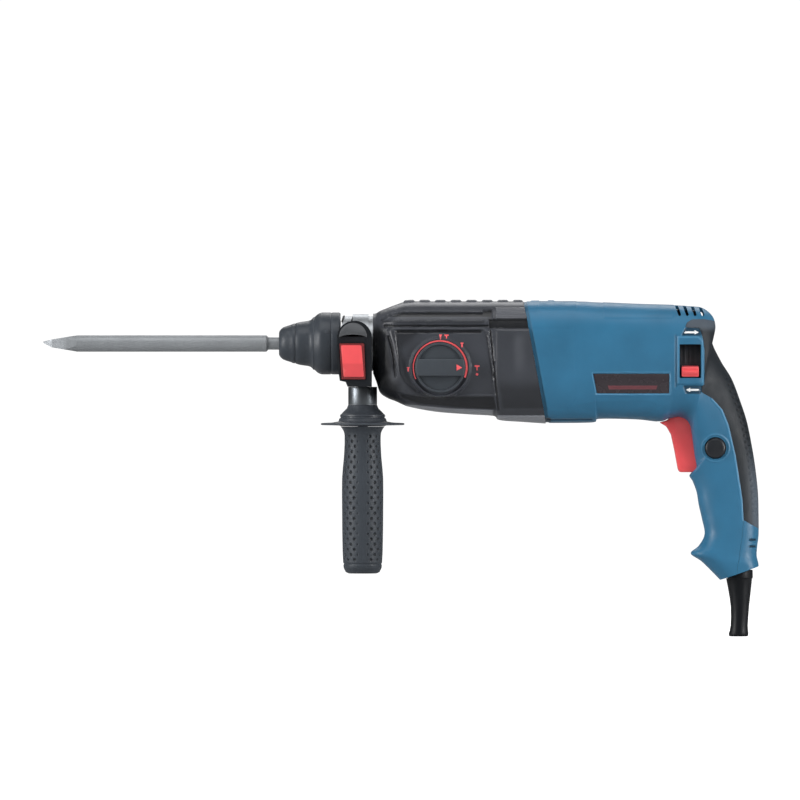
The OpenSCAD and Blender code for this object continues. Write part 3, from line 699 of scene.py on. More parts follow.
def paint(obj, relief_of):
    """Stores a relief's colour shares on a mesh."""
    count = len(obj.data.vertices)
    co = np.zeros(count * 3)
    obj.data.vertices.foreach_get("co", co)
    co = co.reshape(-1, 3) / MM
    relief = relief_of(co[:, 0], co[:, 1], co[:, 2])
    for name, values in (("dark", relief.dark), ("light", relief.light)):
        layer = obj.data.attributes.new(name, "FLOAT", "POINT")
        layer.data.foreach_set("value", np.clip(values, 0, 1).astype(np.float32))


def gear_relief(x, y, z):
    relief = Relief(x, y, z)
    top_half_width = 12
    side = (np.abs(y) > top_half_width).astype(float)
    # Smooth bulge in front of the seam, and the line where it starts, painted dark as shade in its crease;
    # painted shade over the lower part of the bulge, a painted vertical highlight on it, and painted shade
    # over the front end of each side
    bulge = ease(x + 0.15 * z, 166, 178) * (1 - ease(z, 9, 12)) * ease(z, -56, -50)
    relief.add(bulge * side, 0.9)
    relief.line([(166, 9.5), (169, -20), (172.5, -52)], 0.8, -0.9, dark=0.7)
    shade = ease(z, -52, -50) * (1 - ease(z, -38, -26)) * ease(x + 0.15 * z, 166, 170)
    relief.add(shade * side, dark=0.5)
    shine = hump(x, 182, 188, 188, 196) * hump(z, -30, -12, 2, 10)
    relief.add(shine * side, light=0.1)
    relief.add((1 - ease(x + 0.25 * z, 80, 90)) * (1 - ease(z, 8, 16)) * side, dark=0.85)
    # Step down the slope under the top, a paler ribbed block with painted shade in the grooves between its
    # ribs, and the black gap below it, sunk and painted dark as shade
    relief.area([(170.5, 19.3), (199, 19.3), (197, 27.8), (170.5, 27.8)], 0.7, light=0.32)
    for k in range(4):
        relief.line([(171, 20.7 + 1.9 * k), (199, 20.7 + 1.9 * k)], 0.45, -0.5, dark=0.55)
    relief.area([(165, 11.8), (202, 11.8), (201, 19), (165, 19)], -1.6, dark=0.85)
    # Long groove that comes to a point at the front, painted black inside as shade; painted shade on the
    # raised line under it and in the thin groove below, and a painted highlight along the top and on the fine
    # ridge above the panel
    groove = [
        (79.5, 18.2), (84, 21.6), (90, 23.8), (97, 24.5), (160, 24.5), (160, 26.6), (167.6, 26.6),
        (167.6, 18.7)
    ]
    relief.area(groove, -2.3, light=0.06)
    relief.area([(88, 20.8), (167.2, 20.8), (167.2, 26.4), (160.4, 24.3), (97, 24.3)], dark=1.0)
    relief.line([(82, 16.8), (160, 16.8)], 1.3, 0.5, dark=0.4)
    relief.add(ease(z, 28.4, 30), light=0.16)
    relief.line([(83, 13.6), (164, 13.6)], 0.9, -1.2, dark=0.85)
    relief.line([(92, 11.7), (160, 11.7), (164, 9)], 0.6, 0.3, light=0.08)
    # Sunk panel round the knob, with a painted shadow under its top edge, painted shade over its upper front
    # part and a painted shade line down its rear edge
    panel = [
        (91, 10.4), (160.5, 10.4), (163.6, 7), (170, -40.6), (118, -40.6), (108, -38), (99, -31), (95.5, -24)
    ]
    relief.area(panel, -1.1, soft=1.2)
    relief.line([(93, 9.2), (158, 9.2)], 1.2, -0.6, dark=0.85)
    relief.add(within(x, z, panel, 1.2) * ease(z + 0.9 * (104 - x), -2, 8) * side, dark=0.55)
    relief.line([(163.6, 6.5), (168, -27)], 0.55, -0.3, dark=0.5)
    # Ridge that sweeps from the panel's top corner round under the knob, painted darker, and the thin slot in
    # front of it, painted dark as shade
    ridge = [(88.5, 9.5), (92.3, 0), (95.5, -12), (97.5, -24), (102, -32.5), (109, -38), (118, -41.5)]
    relief.line(ridge, 2.2, 0.9, dark=0.4, soft=3.2)
    relief.line([(86.4, 5), (88.8, -4), (90.4, -14), (91.6, -26)], 1.0, -1.1, dark=0.85)
    # Dip at the lower front with a painted highlight on its upper front edge, and the polished band along the
    # bottom, painted darker as shade
    dip = np.exp(-((x - 92) / 8) ** 2 - ((z + 34) / 6) ** 2)
    relief.add(dip * side, -1.6)
    relief.add(np.exp(-((x - 89.5) / 4) ** 2 - ((z + 27.5) / 6) ** 2) * side, light=0.3)
    band = [(93, -39.5), (112, -41.8), (169, -41.8), (171, -51.8), (140, -50.4), (110, -47.4), (97, -43.5)]
    relief.area(band, -0.9, dark=0.75, soft=1.2)
    # Paler strip underneath, with its step: a painted highlight where the underside catches the light
    relief.area([(99, -47.8), (135, -51.2), (168, -52.4), (168, -60), (99, -60)], 0.25, light=1.0)
    relief.area([(171.5, -56.6), (215, -56.6), (215, -66), (171.5, -66)], 0.5, light=1.0)
    return relief


def knob_boss(x, y, z):
    """Moves the left side out to a flat rim round the knob, with a pocket inside it."""
    rim, pocket = 23.2, 21.7
    rim_y, floor_y = -37.2, -35.8
    r = np.hypot(x - KNOB[0], z - KNOB[1])
    left = y < -20
    rise = (1 - ease(r, rim - 0.3, rim + 1.5)) * left
    y = y * (1 - rise) + rim_y * rise
    sink = (1 - ease(r, pocket - 0.5, pocket + 0.2)) * left
    return y * (1 - sink) + floor_y * sink


def top_ribs(x, y, z):
    """Blocks across the top of the gear housing."""
    first, pitch, half_length, half_width = 102.4, 12.28, 4.3, 13.5
    phase = (x - first + pitch / 2) % pitch - pitch / 2
    block_mask = 1 - ease(np.abs(phase), half_length - 1.2, half_length + 0.6)
    reach = hump(x, first - pitch / 2, first - pitch / 2 + 1, 190, 193)
    across = 1 - ease(np.abs(y), half_width - 1, half_width + 1)
    return 1.25 * block_mask * reach * across * ease(z, 24, 29)


def motor_relief(x, y, z):
    relief = Relief(x, y, z)
    seam = SEAM_X - SEAM_LEAN * z
    # A sunk strip along the seam, painted darker as shade.
    relief.add(1 - ease(x - seam, 2.2, 3.0), -0.5, dark=0.35)
    # Two lugs on top, behind the seam
    for x0, x1 in ((197.5, 205), (211, 217)):
        lug = hump(x, x0, x0 + 1, x1 - 1, x1) * (1 - ease(np.abs(y), 10, 12)) * ease(z, 20, 30)
        relief.add(lug, 0.7)
    # Faint ledges of the mould
    relief.area(box_outline(204, 234, 24.5, 40), 0.25)
    relief.area([(255, 19.6), (309, 19.6), (311, 26), (309, 40), (255, 40)], 0.3)
    relief.area([(196, 12), (230, 12), (232, 14), (232, -45), (226, -52), (206, -52)], -0.25, soft=1.0)
    relief.area([(232, -50), (246, -47), (292, -46), (300, -50), (290, -57), (250, -57)], -0.3, soft=2.5)
    # Pocket for the plate, with a fine rim that carries a painted highlight
    plate = [(246.0, -23.3), (306.7, -23.3), (306.7, -39.9), (249.1, -39.9)]
    relief.line(plate + plate[:1], 0.8, 0.25, light=0.17)
    relief.area(plate, -1.1)
    # Flange under the front: a sunk line painted dark as its shadow, and a small dark sunk patch at its front
    # corner
    relief.line([(211, -60.2), (246, -59.8)], 0.55, -0.7, dark=0.75)
    relief.area(box_outline(208.5, 213.5, -61.6, -58.6), -0.3, dark=0.95, side=LEFT)
    direction_relief(relief)
    grip_relief(relief)
    return relief


def direction_relief(relief):
    """Raised frame of the direction window with painted highlights along its edges and a painted shade line in
    front of it, and the two darker sunk fields with their arrows.
    """
    frame_outline = rounded([(312.6, -32), (333.2, -32), (333.2, 1.5), (329.5, 5.6), (312.6, 5.6)], 1.6)
    relief.line([(311.6, -34), (311.6, 6)], 0.7, -0.5, dark=0.25, side=LEFT)
    relief.area(frame_outline, 0.7, side=LEFT)
    relief.line([(313.2, 4.8), (329, 4.8), (332.4, 1.2), (332.4, -31)], 0.5, 0.2, light=0.2, side=LEFT)
    relief.line([(313.4, 4.4), (313.4, -31.2)], 0.45, 0.15, light=0.15, side=LEFT)
    upper = [(316, 6), (331.6, 6), (330.5, 12.2), (318.8, 12.2)]
    lower = [(317, -33.2), (332.4, -33.2), (331, -39.8), (319.4, -39.8)]
    for field, dark in ((upper, 0.8), (lower, 0.75)):
        relief.area(rounded(field, 1.2), -1.0, dark=dark, side=LEFT)


def grip_dots(x, z):
    """Two staggered columns of dimples down each side of the handle's back."""
    back = [(row[2], row[3]) for row in HANDLE_ROWS[11:18]]
    pitch = 5.0
    dots = np.zeros(x.shape)
    for shift, offset in ((2.2, 0.0), (4.6, pitch / 2)):
        column = [(p[0] - shift, p[1]) for p in back]
        row = (z + offset + pitch / 2) % pitch - pitch / 2
        dots = np.maximum(dots, 1 - ease(np.hypot(row, line_distance(x, z, column)), 0.5, 1.1))
    return dots


def grip_relief(relief):
    """Bead along the edge of the soft grip and ring round the lock button, both with a painted highlight, and
    slots at the foot painted dark as shade.
    """
    edge = [(p[0] - 1.1, p[1]) for p in GRIP_BEAD]
    relief.add(grip_dots(relief.x, relief.z), -0.5)
    relief.line(edge, 0.75, 0.35, light=0.15)
    r = np.hypot(relief.x - LOCK[0], relief.z - LOCK[1])
    left = relief.on(LEFT)
    relief.add((1 - ease(np.abs(r - 10.6), 0.3, 1.0)) * left, 0.35, light=0.08)
    relief.add((1 - ease(r, 9.2, 10.2)) * left, -0.25)
    for k in range(2):
        z = -154.5 - 5.2 * k
        relief.line([(370.3, z), (374.2, z)], 0.8, -1.2, dark=0.9)


# ---- Gear housing ----

def seam_side(name, shift, front):
    """Everything in front of the leaning seam, or behind it."""
    reach = 120
    foot, head = (SEAM_X + shift - SEAM_LEAN * z for z in (-reach, reach))
    far = -60 if front else 460
    return prism(name, [(foot, -reach), (head, reach), (far, reach), (far, -reach)], -reach, reach)


def make_gear_housing():
    rings = rings_through(BARREL_ROWS, barrel_ring, 0.6, 420)
    x, y, z = rings[:, :, 0], rings[:, :, 1], rings[:, :, 2]
    height = gear_relief(x, y, z).height + top_ribs(x, y, z)
    moved = rings + outward(rings) * height[:, :, None]
    moved[:, :, 1] = knob_boss(moved[:, :, 0], moved[:, :, 1], moved[:, :, 2])
    housing = solid_of_rings("gear_housing_shell", moved)
    hollow = rings_through(BARREL_ROWS[3:] + [[222, 33.1, -62.8, 38, 3.4]], barrel_ring, 4, 96, WALL)
    cutters = [
        solid_of_rings("hollow", hollow),
        seam_side("seam", -PARTING / 2, front=False),
        rod("neck_bore", 70, 90, 22.6, "x"),
        rod("knob_hole", -45, -20, 8.4, "y", (KNOB[0], 0, KNOB[1]), 64),
    ]
    carve(housing, *cutters)
    paint(housing, gear_relief)
    return finish_piece(housing, "housing", "gear_housing_black", ["gear_housing"])


# ---- Motor housing, soft grip and handle cover ----

def handle_blank(name):
    rings = rings_through(HANDLE_ROWS, handle_ring, 0.75, 380)
    relief = motor_relief(rings[:, :, 0], rings[:, :, 1], rings[:, :, 2])
    moved = rings + outward(rings) * relief.height[:, :, None]
    blank = solid_of_rings(name, moved)
    inner_rows = [list(HANDLE_ROWS[0])] + HANDLE_ROWS[:-1]
    inner_rows[0][0] -= 14
    inner_rows[0][2] -= 14
    carve(blank, solid_of_rings("hollow", rings_through(inner_rows, handle_ring, 4, 96, WALL)))
    return blank


def copy_of(obj, name):
    """A second object with a mesh of its own."""
    twin = obj.copy()
    twin.data = obj.data.copy()
    twin.name = name
    bpy.context.scene.collection.objects.link(twin)
    return twin


def region(name, edge, back, shift=0.0):
    return prism(name, [(p[0] + shift, p[1]) for p in edge] + back, -60, 60)


def vent(name, start, end, half_width, side):
    """A slot with round ends through one side wall."""
    dx, dz = end[0] - start[0], end[1] - start[1]
    lean = math.degrees(math.atan2(dz, dx))
    outline = arc(start, half_width, lean + 90, lean + 270, 8) + arc(end, half_width, lean - 90, lean + 90, 8)
    return prism(name, outline, side * 8, side * 45)


TRIGGER_GAP = [
    (297.3, -70), (297.3, -58.4), (304, -47), (326, -44), (337, -60), (339, -99), (336, -101.9), (312, -101.9)
]


def make_handle_shells():
    blank = handle_blank("handle_blank")
    motor = copy_of(blank, "motor_housing_shell")
    grip = copy_of(blank, "rear_grip_shell")
    cover = blank
    cover.name = "handle_cover_shell"
    boot_hole = (-200, -164, 9.4, "z", (BOOT_X, 0, 0), 64)
    cutters = [
        seam_side("seam", PARTING / 2, front=True),
        region("grip_region", GRIP_EDGE, GRIP_BACK),
        region("cover_region", COVER_EDGE, COVER_BACK),
        prism("trigger_gap", TRIGGER_GAP, -9.1, 9.1),
        block("direction_window", (314.4, -49, -27.2), (331.2, -23, -0.8)),
        rod("lock_hole", -40, -10, 8.6, "y", (LOCK[0], 0, LOCK[1]), 64),
        rod("boot_hole", *boot_hole),
    ]
    rear_pitch, fan_pitch = 6.1, 6
    for side in (LEFT, RIGHT):
        for k in range(4):
            step = rear_pitch * k
            cutters.append(vent("rear_vent", (312.4 + step, 29.5), (314.6 + step, 22.6), 1.15, side))
    for k in range(5):
        x = 216 + fan_pitch * k
        cutters.append(vent("fan_vent", (x, -46), (x, -56), 1.2, RIGHT))
    carve(motor, *cutters)
    paint(motor, motor_relief)
    finish_piece(motor, "housing", "housing_blue", ["motor_housing"])

    screen = prism("vent_screen", [(306, 17), (332, 17), (332, 24), (325, 26), (306, 27)], -1, 1)
    finish_piece(screen, "housing", "inner_plastic")

    carve(grip, region("grip_region", GRIP_EDGE, GRIP_BACK, PARTING), how="INTERSECT")
    paint(grip, soft_grip_relief)
    finish_piece(grip, "housing", "soft_grip", ["rear_grip"])

    carve(cover, region("cover_region", COVER_EDGE, COVER_BACK, PARTING), how="INTERSECT")
    carve(cover, region("grip_region", GRIP_EDGE, GRIP_BACK), rod("boot_hole", *boot_hole))
    paint(cover, motor_relief)
    finish_piece(cover, "housing", "housing_blue", ["handle_cover"])


def soft_grip_relief(x, y, z):
    """Polished patch under the hood with its sheen painted on, painted shade in the dimples, and a paler back
    towards the lower end.
    """
    relief = Relief(x, y, z)
    relief.add(ease(z, 8, 14), light=0.7)
    relief.add((1 - ease(z, -125, -70)) * (1 - ease(np.abs(y), 10, 16)), light=0.85)
    relief.add(grip_dots(x, z), dark=0.8)
    return relief


# ---- Patches that follow a skin ----

def skin_tree(obj):
    graph = bpy.context.evaluated_depsgraph_get()
    return BVHTree.FromObject(obj, graph)


def sheet(outline, cell):
    """A flat sheet with an outline in x and z, cut into cells."""
    mesh = bmesh.new()
    mesh.faces.new([mesh.verts.new((p[0], 0, p[1])) for p in outline])
    low = np.min(outline, axis=0)
    high = np.max(outline, axis=0)
    for axis, normal in ((0, (1, 0, 0)), (1, (0, 0, 1))):
        for cut in np.arange(low[axis] + cell, high[axis], cell):
            at = (cut, 0, 0) if axis == 0 else (0, 0, cut)
            everything = mesh.verts[:] + mesh.edges[:] + mesh.faces[:]
            bmesh.ops.bisect_plane(mesh, geom=everything, plane_co=at, plane_no=normal, dist=1e-4)
    return mesh


def backed(name, mesh, back_of):
    """An object from a sheet, closed by a back whose place follows from the front's."""
    back = bmesh.ops.extrude_face_region(mesh, geom=mesh.faces[:])
    for item in back["geom"]:
        if isinstance(item, bmesh.types.BMVert):
            item.co.y = back_of(item.co.y)
    bmesh.ops.recalc_face_normals(mesh, faces=mesh.faces)
    bmesh.ops.scale(mesh, vec=(MM, MM, MM), verts=mesh.verts)
    data = bpy.data.meshes.new(name)
    mesh.to_mesh(data)
    mesh.free()
    obj = bpy.data.objects.new(name, data)
    bpy.context.scene.collection.objects.link(obj)
    return obj


def patch(name, outline, tree, proud, depth, side=LEFT, cell=1.5):
    """A thin piece with an outline in x and z that follows the skin below it."""
    mesh = sheet(outline, cell)
    outside = side * 200 * MM
    for vert in mesh.verts:
        hit = tree.ray_cast((vert.co.x * MM, outside, vert.co.z * MM), (0, -side, 0))[0]
        vert.co.y = hit.y / MM + side * proud
    return backed(name, mesh, lambda y: y - side * (proud + depth))


def patch_block(name, outline, y_back, height_of):
    """A block with a flat back on the left side, whose front follows a height over x and z."""
    mesh = sheet(outline, 1.6)
    for vert in mesh.verts:
        vert.co.y = y_back + LEFT * float(height_of(vert.co.x, vert.co.z))
    return backed(name, mesh, lambda y: y_back)


def make_plates(tree):
    plate = [(246.6, -23.9), (306.1, -23.9), (306.1, -39.3), (249.7, -39.3)]
    left = patch("name_plate_face", rounded(plate, 0.8), tree, 0.45, 0.35)
    soften(left, 0.15, 2)
    finish_piece(left, "housing", "name_plate", ["name_plate"])
    stripe = [(258, -33.2), (297, -33.2), (296, -36.2), (259, -36.2)]
    band = patch("name_plate_band", stripe, skin_tree(left), 0.08, 0.2)
    finish_piece(band, "housing", "name_plate", material="plate_red")
    right = patch("rating_plate_face", rounded(plate, 0.8), tree, 0.45, 0.35, RIGHT)
    soften(right, 0.15, 2)
    finish_piece(right, "housing", "rating_plate", ["rating_plate"])


def make_arrows(tree):
    """A white arrow in each sunk field, one for each way round."""
    half_shaft, half_head = 0.75, 1.7
    for name, tip, tail, z in (("arrow_forward", 329.6, 317.8, 8.6), ("arrow_reverse", 319.4, 330.6, -36.6)):
        way = math.copysign(1, tip - tail)
        neck = tip - way * 3.4
        outline = [
            (tail, z - half_shaft), (neck, z - half_shaft), (neck, z - half_head), (tip, z),
            (neck, z + half_head), (neck, z + half_shaft), (tail + way * 1.2, z + half_shaft)
        ]
        arrow = patch(name, outline, tree, 0.35, 0.2, cell=3)
        finish_piece(arrow, "housing", "housing_blue", material="marking_white")


def make_icons(tree):
    """Plain marks beside the knob's four positions: a drill, a hammer, both, and a free bit."""
    hammer = [
        (-0.35, -1.6), (0.35, -1.6), (0.35, 0.5), (1.5, 0.5), (1.5, 1.5), (-1.5, 1.5), (-1.5, 0.5),
        (-0.35, 0.5)
    ]
    drill = [
        (0, -2), (0.55, -1.1), (0.55, 1), (1, 1), (1, 1.8), (-1, 1.8), (-1, 1), (-0.55, 1), (-0.55, -1.1)
    ]
    dot = arc((0, 0), 1.0, 0, 330, 12)
    marks = [
        ("mark_both_hammer", hammer, 131.6, 5.2, 1.1), ("mark_both_drill", drill, 126.9, 4.9, 1.1),
        ("mark_drill", drill, 143.8, -1.6, 1.15), ("mark_hammer", hammer, 155.6, -19.2, 1.25),
        ("mark_hammer_dot", dot, 155.6, -24.4, 1), ("mark_free", drill, 101.6, -20.5, 1)
    ]
    for name, outline, x, z, size in marks:
        piece = patch(name, [(x + p[0] * size, z + p[1] * size) for p in outline], tree, 0.12, 0.25, cell=4)
        finish_piece(piece, "housing", "gear_housing_black", material="marking_red")


# ---- Knob ----

def make_knob():
    centre = (KNOB[0], 0, KNOB[1])
    bar_radius, bar_half = 19.2, 6.7
    profile = [
        (-36.2, 0), (-36.2, 19.2), (-37.0, 19.7), (-38.8, 19.7), (-39.4, 19.1), (-39.4, 17.9),
        (-38.0, 17.4), (-38.0, 0)
    ]
    disc = lathe("selector_knob_disc", profile, "y", centre, 128)
    hub = rod("hub", -36.4, -31.9, 8, "y", centre, 64)
    pin_centre = (KNOB[0] - 4, 0, KNOB[1])
    pin = rod("pin", -32.1, -25.5, 2, "y", pin_centre, 32)
    reach = math.degrees(math.asin(bar_half / bar_radius))
    front, rear = (arc(KNOB, bar_radius, turn - reach, turn + reach, 10) for turn in (180, 0))
    bar = prism("bar", rear + front, -37.9, -44.9)
    soften(bar, 0.9, 3, 50)
    carve(disc, hub, pin, bar, how="UNION")
    finish_piece(disc, "selector_knob", "knob_black", ["selector_knob"])
    tip = (KNOB[0] + 17.2, KNOB[1])
    outline = [tip, (tip[0] - 4.4, tip[1] + 2.5), (tip[0] - 4.4, tip[1] - 2.5)]
    pointer = prism("selector_pointer", outline, -44.7, -45.15)
    finish_piece(pointer, "selector_knob", "knob_black", material="marking_red")


def make_knob_scale():
    """Red arc in the pocket round the knob, wider towards the rear."""
    outer = arc(KNOB, 21.5, 205, -22, 61)
    inner = [
        (KNOB[0] + r * math.cos(a), KNOB[1] + r * math.sin(a))
        for a, r in zip(np.radians(np.linspace(-22, 205, 61)), np.linspace(19.95, 20.7, 61))
    ]
    scale = prism("selector_scale", outer + inner, -35.6, -37.0)
    finish_piece(scale, "housing", "gear_housing_black", material="marking_red")


# ---- Nose ----

def make_nose():
    cap = lathe("dust_cap_shell", [
        (0, 5.6), (0, 8.6), (0.5, 9.9), (1.6, 11.3), (3.2, 12.6), (5.4, 13.5), (7.6, 14.2), (9.8, 14.9),
        (10.4, 15.3), (12.8, 15.8), (12.8, 11.2), (3.7, 11.2), (3.7, 5.6)
    ], "x", (0, 0, 0), 128)
    finish_piece(soften(cap, 0.3, 2), "spindle_group", "chuck_black", ["dust_cap"])
    sleeve = lathe("locking_sleeve_shell", [
        (12.9, 13), (12.9, 15.6), (13.3, 16.0), (16.5, 16.9), (20, 17.4), (23, 17.8), (25, 18.5),
        (26.2, 19.6), (26.8, 20.6), (27.6, 20.7), (28.4, 21.2), (30.4, 23), (32.3, 24), (34, 24.4),
        (40.5, 24.4), (40.8, 24.1), (41.6, 24.1), (41.9, 24.4), (47.4, 24.4), (48.4, 23.5), (48.4, 22.4),
        (34.2, 22.4), (34.2, 16.2), (21.7, 16.2), (21.7, 13)
    ], "x", (0, 0, 0), 144)
    finish_piece(soften(sleeve, 0.3, 2), "locking_sleeve", "chuck_black", ["locking_sleeve"])
    dot = lathe("sleeve_dot", [(0, 0), (0, 1.9), (0.35, 1.5), (0.35, 0)], "y", (0, 0, 0), 32)
    lean = math.radians(-22)
    for vert in dot.data.vertices:
        x, y, z = vert.co
        y = -24.25 * MM - y
        turned = (y * math.cos(lean) - z * math.sin(lean), y * math.sin(lean) + z * math.cos(lean))
        vert.co = (x + 38 * MM, *turned)
    flip(dot)
    finish_piece(dot, "locking_sleeve", "chuck_black")


def make_neck_slots():
    """Two dark slanted slots across the top of the neck, drawn as near-black strips that stand in for the
    shade inside them.
    """
    lean, width = 2.4, 1.3
    for name, foot, radius in (("neck_slot_front", 48.9, 22.0), ("neck_slot_rear", 56.4, 21.75)):
        slot = lathe(name, [(46, 20.5), (46, radius), (62, radius), (62, 20.5)], "x", (0, 0, 0), 96)
        strip = [(foot, 17), (foot + width, 17), (foot + width + lean, 24), (foot + lean, 24)]
        carve(slot, prism("strip", strip, -15, 15), how="INTERSECT")
        # The near-black seal rubber stands in for shade in the slot.
        finish_piece(slot, "housing", "seal_rubber")


def flip(obj):
    """Turns the faces outwards again after a mirroring."""
    mesh = bmesh.new()
    mesh.from_mesh(obj.data)
    bmesh.ops.recalc_face_normals(mesh, faces=mesh.faces)
    mesh.to_mesh(obj.data)
    mesh.free()


# ---- Side handle ----

def make_clamp():
    arch_centre = (59.5, 4)
    cheek = arc(arch_centre, 13.7, 0, 180, 25)
    cheek += [(46.2, -18), (48, -29.4), (52.6, -30.4), (54, -34), (71, -34), (73.2, -30)]
    clamp = prism("clamp_base_body", cheek, -25.5, -37.6)
    crown = arc((58.4, 5.2), 10.8, 0, 180, 19)
    crown += [(47.6, 4.6), (52.5, 5.9), (58.4, 6.4), (64.3, 5.9), (69.2, 4.6)]
    cap = prism("cap", crown, -30, -39.6)
    soften(cap, 1.4, 4, 40)
    shelf = block("shelf", (55.4, -25.6, -34), (73, 28, -30))
    body = block("body", (55.4, -19.5, -34), (73, 19.5, -14))
    rest = block("rest", (55.4, 25.2, -34), (73, 28.2, -8))
    carve(clamp, cap, shelf, body, rest, how="UNION")
    pocket = rounded([(47.3, 0.3), (67.6, 0.3), (68.6, -28.8), (49, -28.8)], 1.2)
    cutters = [
        rod("neck", 40, 80, 21.8, "x"),
        block("nut_space", (57.2, -23.6, -29.9), (71.2, 23.6, -9.9)),
        rod("rod_bore", 40, 80, 4.1, "x", (0, -30.5, -2), 48),
        rod("stud_bore", -40, -20, 4.3, "z", (HANDLE_X, 0, 0), 48),
        prism("pocket", pocket, -45, -34.0),
    ]
    carve(clamp, *cutters)
    soften(clamp, 0.5, 2, 50)
    paint(clamp, clamp_relief)
    finish_piece(clamp, "handle_clamp", "clamp_black", ["clamp_base"])


def clamp_relief(x, y, z):
    relief = Relief(x, y, z)
    face_y = -37.7
    # Painted highlight on the front of the lit cap.
    relief.add(within(x, z, box_outline(46.5, 70.5, 3.6, 17), 0.8) * (y < face_y), light=0.62)
    return relief


def make_depth_button():
    base = rounded([(47.8, -0.2), (67.1, -0.2), (68.1, -28.3), (49.5, -28.3)], 0.8)
    face = rounded([(48.9, -1.6), (64.9, -1.6), (67.0, -26.4), (51.0, -26.4)], 1.2)
    button = prism("depth_button_base", base, -38.4, -36.4)
    soften(button, 0.25, 2)
    # Painted shade over the whole base round the key.
    paint(button, lambda x, y, z: shaded(x, y, z, 0.97))
    finish_piece(button, "depth_button", "control_red", ["depth_button"])
    key = patch_block("depth_button_face", face, -38.2, depth_button_face)
    soften(key, 0.35, 3, 50)
    # Painted shade on the lower part of the face, where it bends inwards.
    paint(key, lambda x, y, z: shaded(x, y, z, 0.16 * (z < -16.2)))
    finish_piece(key, "depth_button", "control_red")


def shaded(x, y, z, dark):
    """A relief with no height and one share of painted shade all over."""
    relief = Relief(x, y, z)
    relief.dark += dark
    return relief


def depth_button_face(x, z):
    """Crowned face that bends inwards at its lower third."""
    crown = 3.1 - ((x - 58) / 9.5) ** 2 * 0.5
    return crown + np.where(z < -16, (z + 16) * 0.16, (z + 16) * 0.012)


def make_side_grip():
    """Rubber grip with rows of small round dimples and a plain strip at the front and back."""
    top, end = -65.4, -181.0
    stations = [
        (top, 17.2), (top - 1, 16.6), (top - 3, 15), (-71.5, 14.2), (-79, 14.2), (-89, 14.7), (-98, 15.6),
        (-106, 16.2), (-118, 16.3), (-131, 16.2), (-146, 16.1), (end + 17, 15.8), (end + 6, 15.2),
        (end + 3, 14.7), (end + 1, 13.2), (end, 11)
    ]
    table = np.array(stations)
    places = np.arange(top, end, -0.42)
    places[-1] = end
    radii = np.interp(-places, -table[:, 0], table[:, 1])
    radii[5:-5] = np.convolve(radii, np.ones(11) / 11, mode="same")[5:-5]
    count = 264
    angle = np.arange(count) * 2 * math.pi / count
    z, a = np.meshgrid(places, angle, indexing="ij")
    radius = np.repeat(radii[:, None], count, axis=1)
    radius -= dimples(z, a)
    ring = 1 - ease(np.abs(z - (end + 7.5)), 0.3, 1.0)
    radius -= 0.5 * ring
    rings = np.stack([HANDLE_X + radius * np.cos(a), radius * np.sin(a), z], axis=2)
    grip = solid_of_rings("side_grip_rubber", rings)
    bore = rod("bore", -78, -60, 4.4, "z", (HANDLE_X, 0, 0), 48)
    carve(grip, bore)
    paint(grip, grip_shade)
    finish_piece(grip, "side_grip", "side_grip_rubber", ["side_grip"], crisp=60)


COLUMN = math.radians(12.3)
PITCH = 8.1


def dimple_field(z, a):
    """How far each place is inside its nearest dimple, from 0 to 1."""
    column = np.round(a / COLUMN)
    offset = np.where(column % 2 == 0, 0.0, PITCH / 2)
    dz = (z - offset + PITCH / 2) % PITCH - PITCH / 2
    across = (a - column * COLUMN) * 16
    dot = 1 - ease(np.hypot(dz, across), 0.75, 1.45)
    strip = 1 - ease(np.abs(np.sin(a)), 0.965, 0.975)
    reach = ease(z, -172, -170) * (1 - ease(z, -72, -70))
    return dot * strip * reach


def dimples(z, a):
    return 0.8 * dimple_field(z, a)


def grip_shade(x, y, z):
    relief = Relief(x, y, z)
    angle = np.arctan2(y, x - HANDLE_X) % (2 * math.pi)
    relief.dark = 0.85 * dimple_field(z, angle) * (np.hypot(x - HANDLE_X, y) > 11)
    return relief


def make_guard():
    guard = lathe("side_guard_disc", [
        (-48.3, 4.4), (-48.3, 11.3), (-49.2, 11.7), (-51, 12.4), (-54, 15.4), (-55.6, 16.8), (-56.0, 17.6),
        (-57.4, 17.9), (-57.9, 17.3), (-58.6, 17.4), (-59.1, 18.4), (-60.7, 18.8), (-61.4, 19.2), (-62.2, 24),
        (-62.6, 32.2), (-63.2, 33.0), (-64, 32.8), (-64.3, 31.6), (-64.6, 18.5), (-65.2, 17.2), (-65.2, 4.4)
    ], "z", (HANDLE_X, 0, 0), 128)
    finish_piece(soften(guard, 0.12, 2), "side_grip", "side_guard_plastic", ["side_guard"])


def make_stem():
    stem = lathe("handle_stem_bar", [
        (-34.1, 4.4), (-34.1, 11.35), (-48.25, 11.35), (-48.25, 4.4)
    ], "z", (HANDLE_X, 0, 0), 96)
    finish_piece(soften(stem, 0.08, 2), "handle_clamp", "stem_metal", ["handle_stem"])


# ---- Controls on the handle ----

TRIGGER = [
    (299.4, -62.2), (306, -60.2), (309, -54.5), (309.5, -49.8), (313, -48.6), (316.5, -49.8), (322, -56),
    (331, -66), (331.5, -99), (329, -101.3), (315.2, -101.3), (313.9, -99.2), (311.2, -84.4), (308.5, -71.8),
    (304.9, -65.4)
]


def make_trigger():
    trigger = prism("trigger_lever", TRIGGER, -8.6, 8.6)
    soften(trigger, 1.9, 4, 20)
    pivot = rod("pivot", -20, 20, 2.05, "y", TRIGGER_PIVOT, 48)
    carve(trigger, pivot)
    finish_piece(trigger, "trigger", "control_red", ["trigger"])


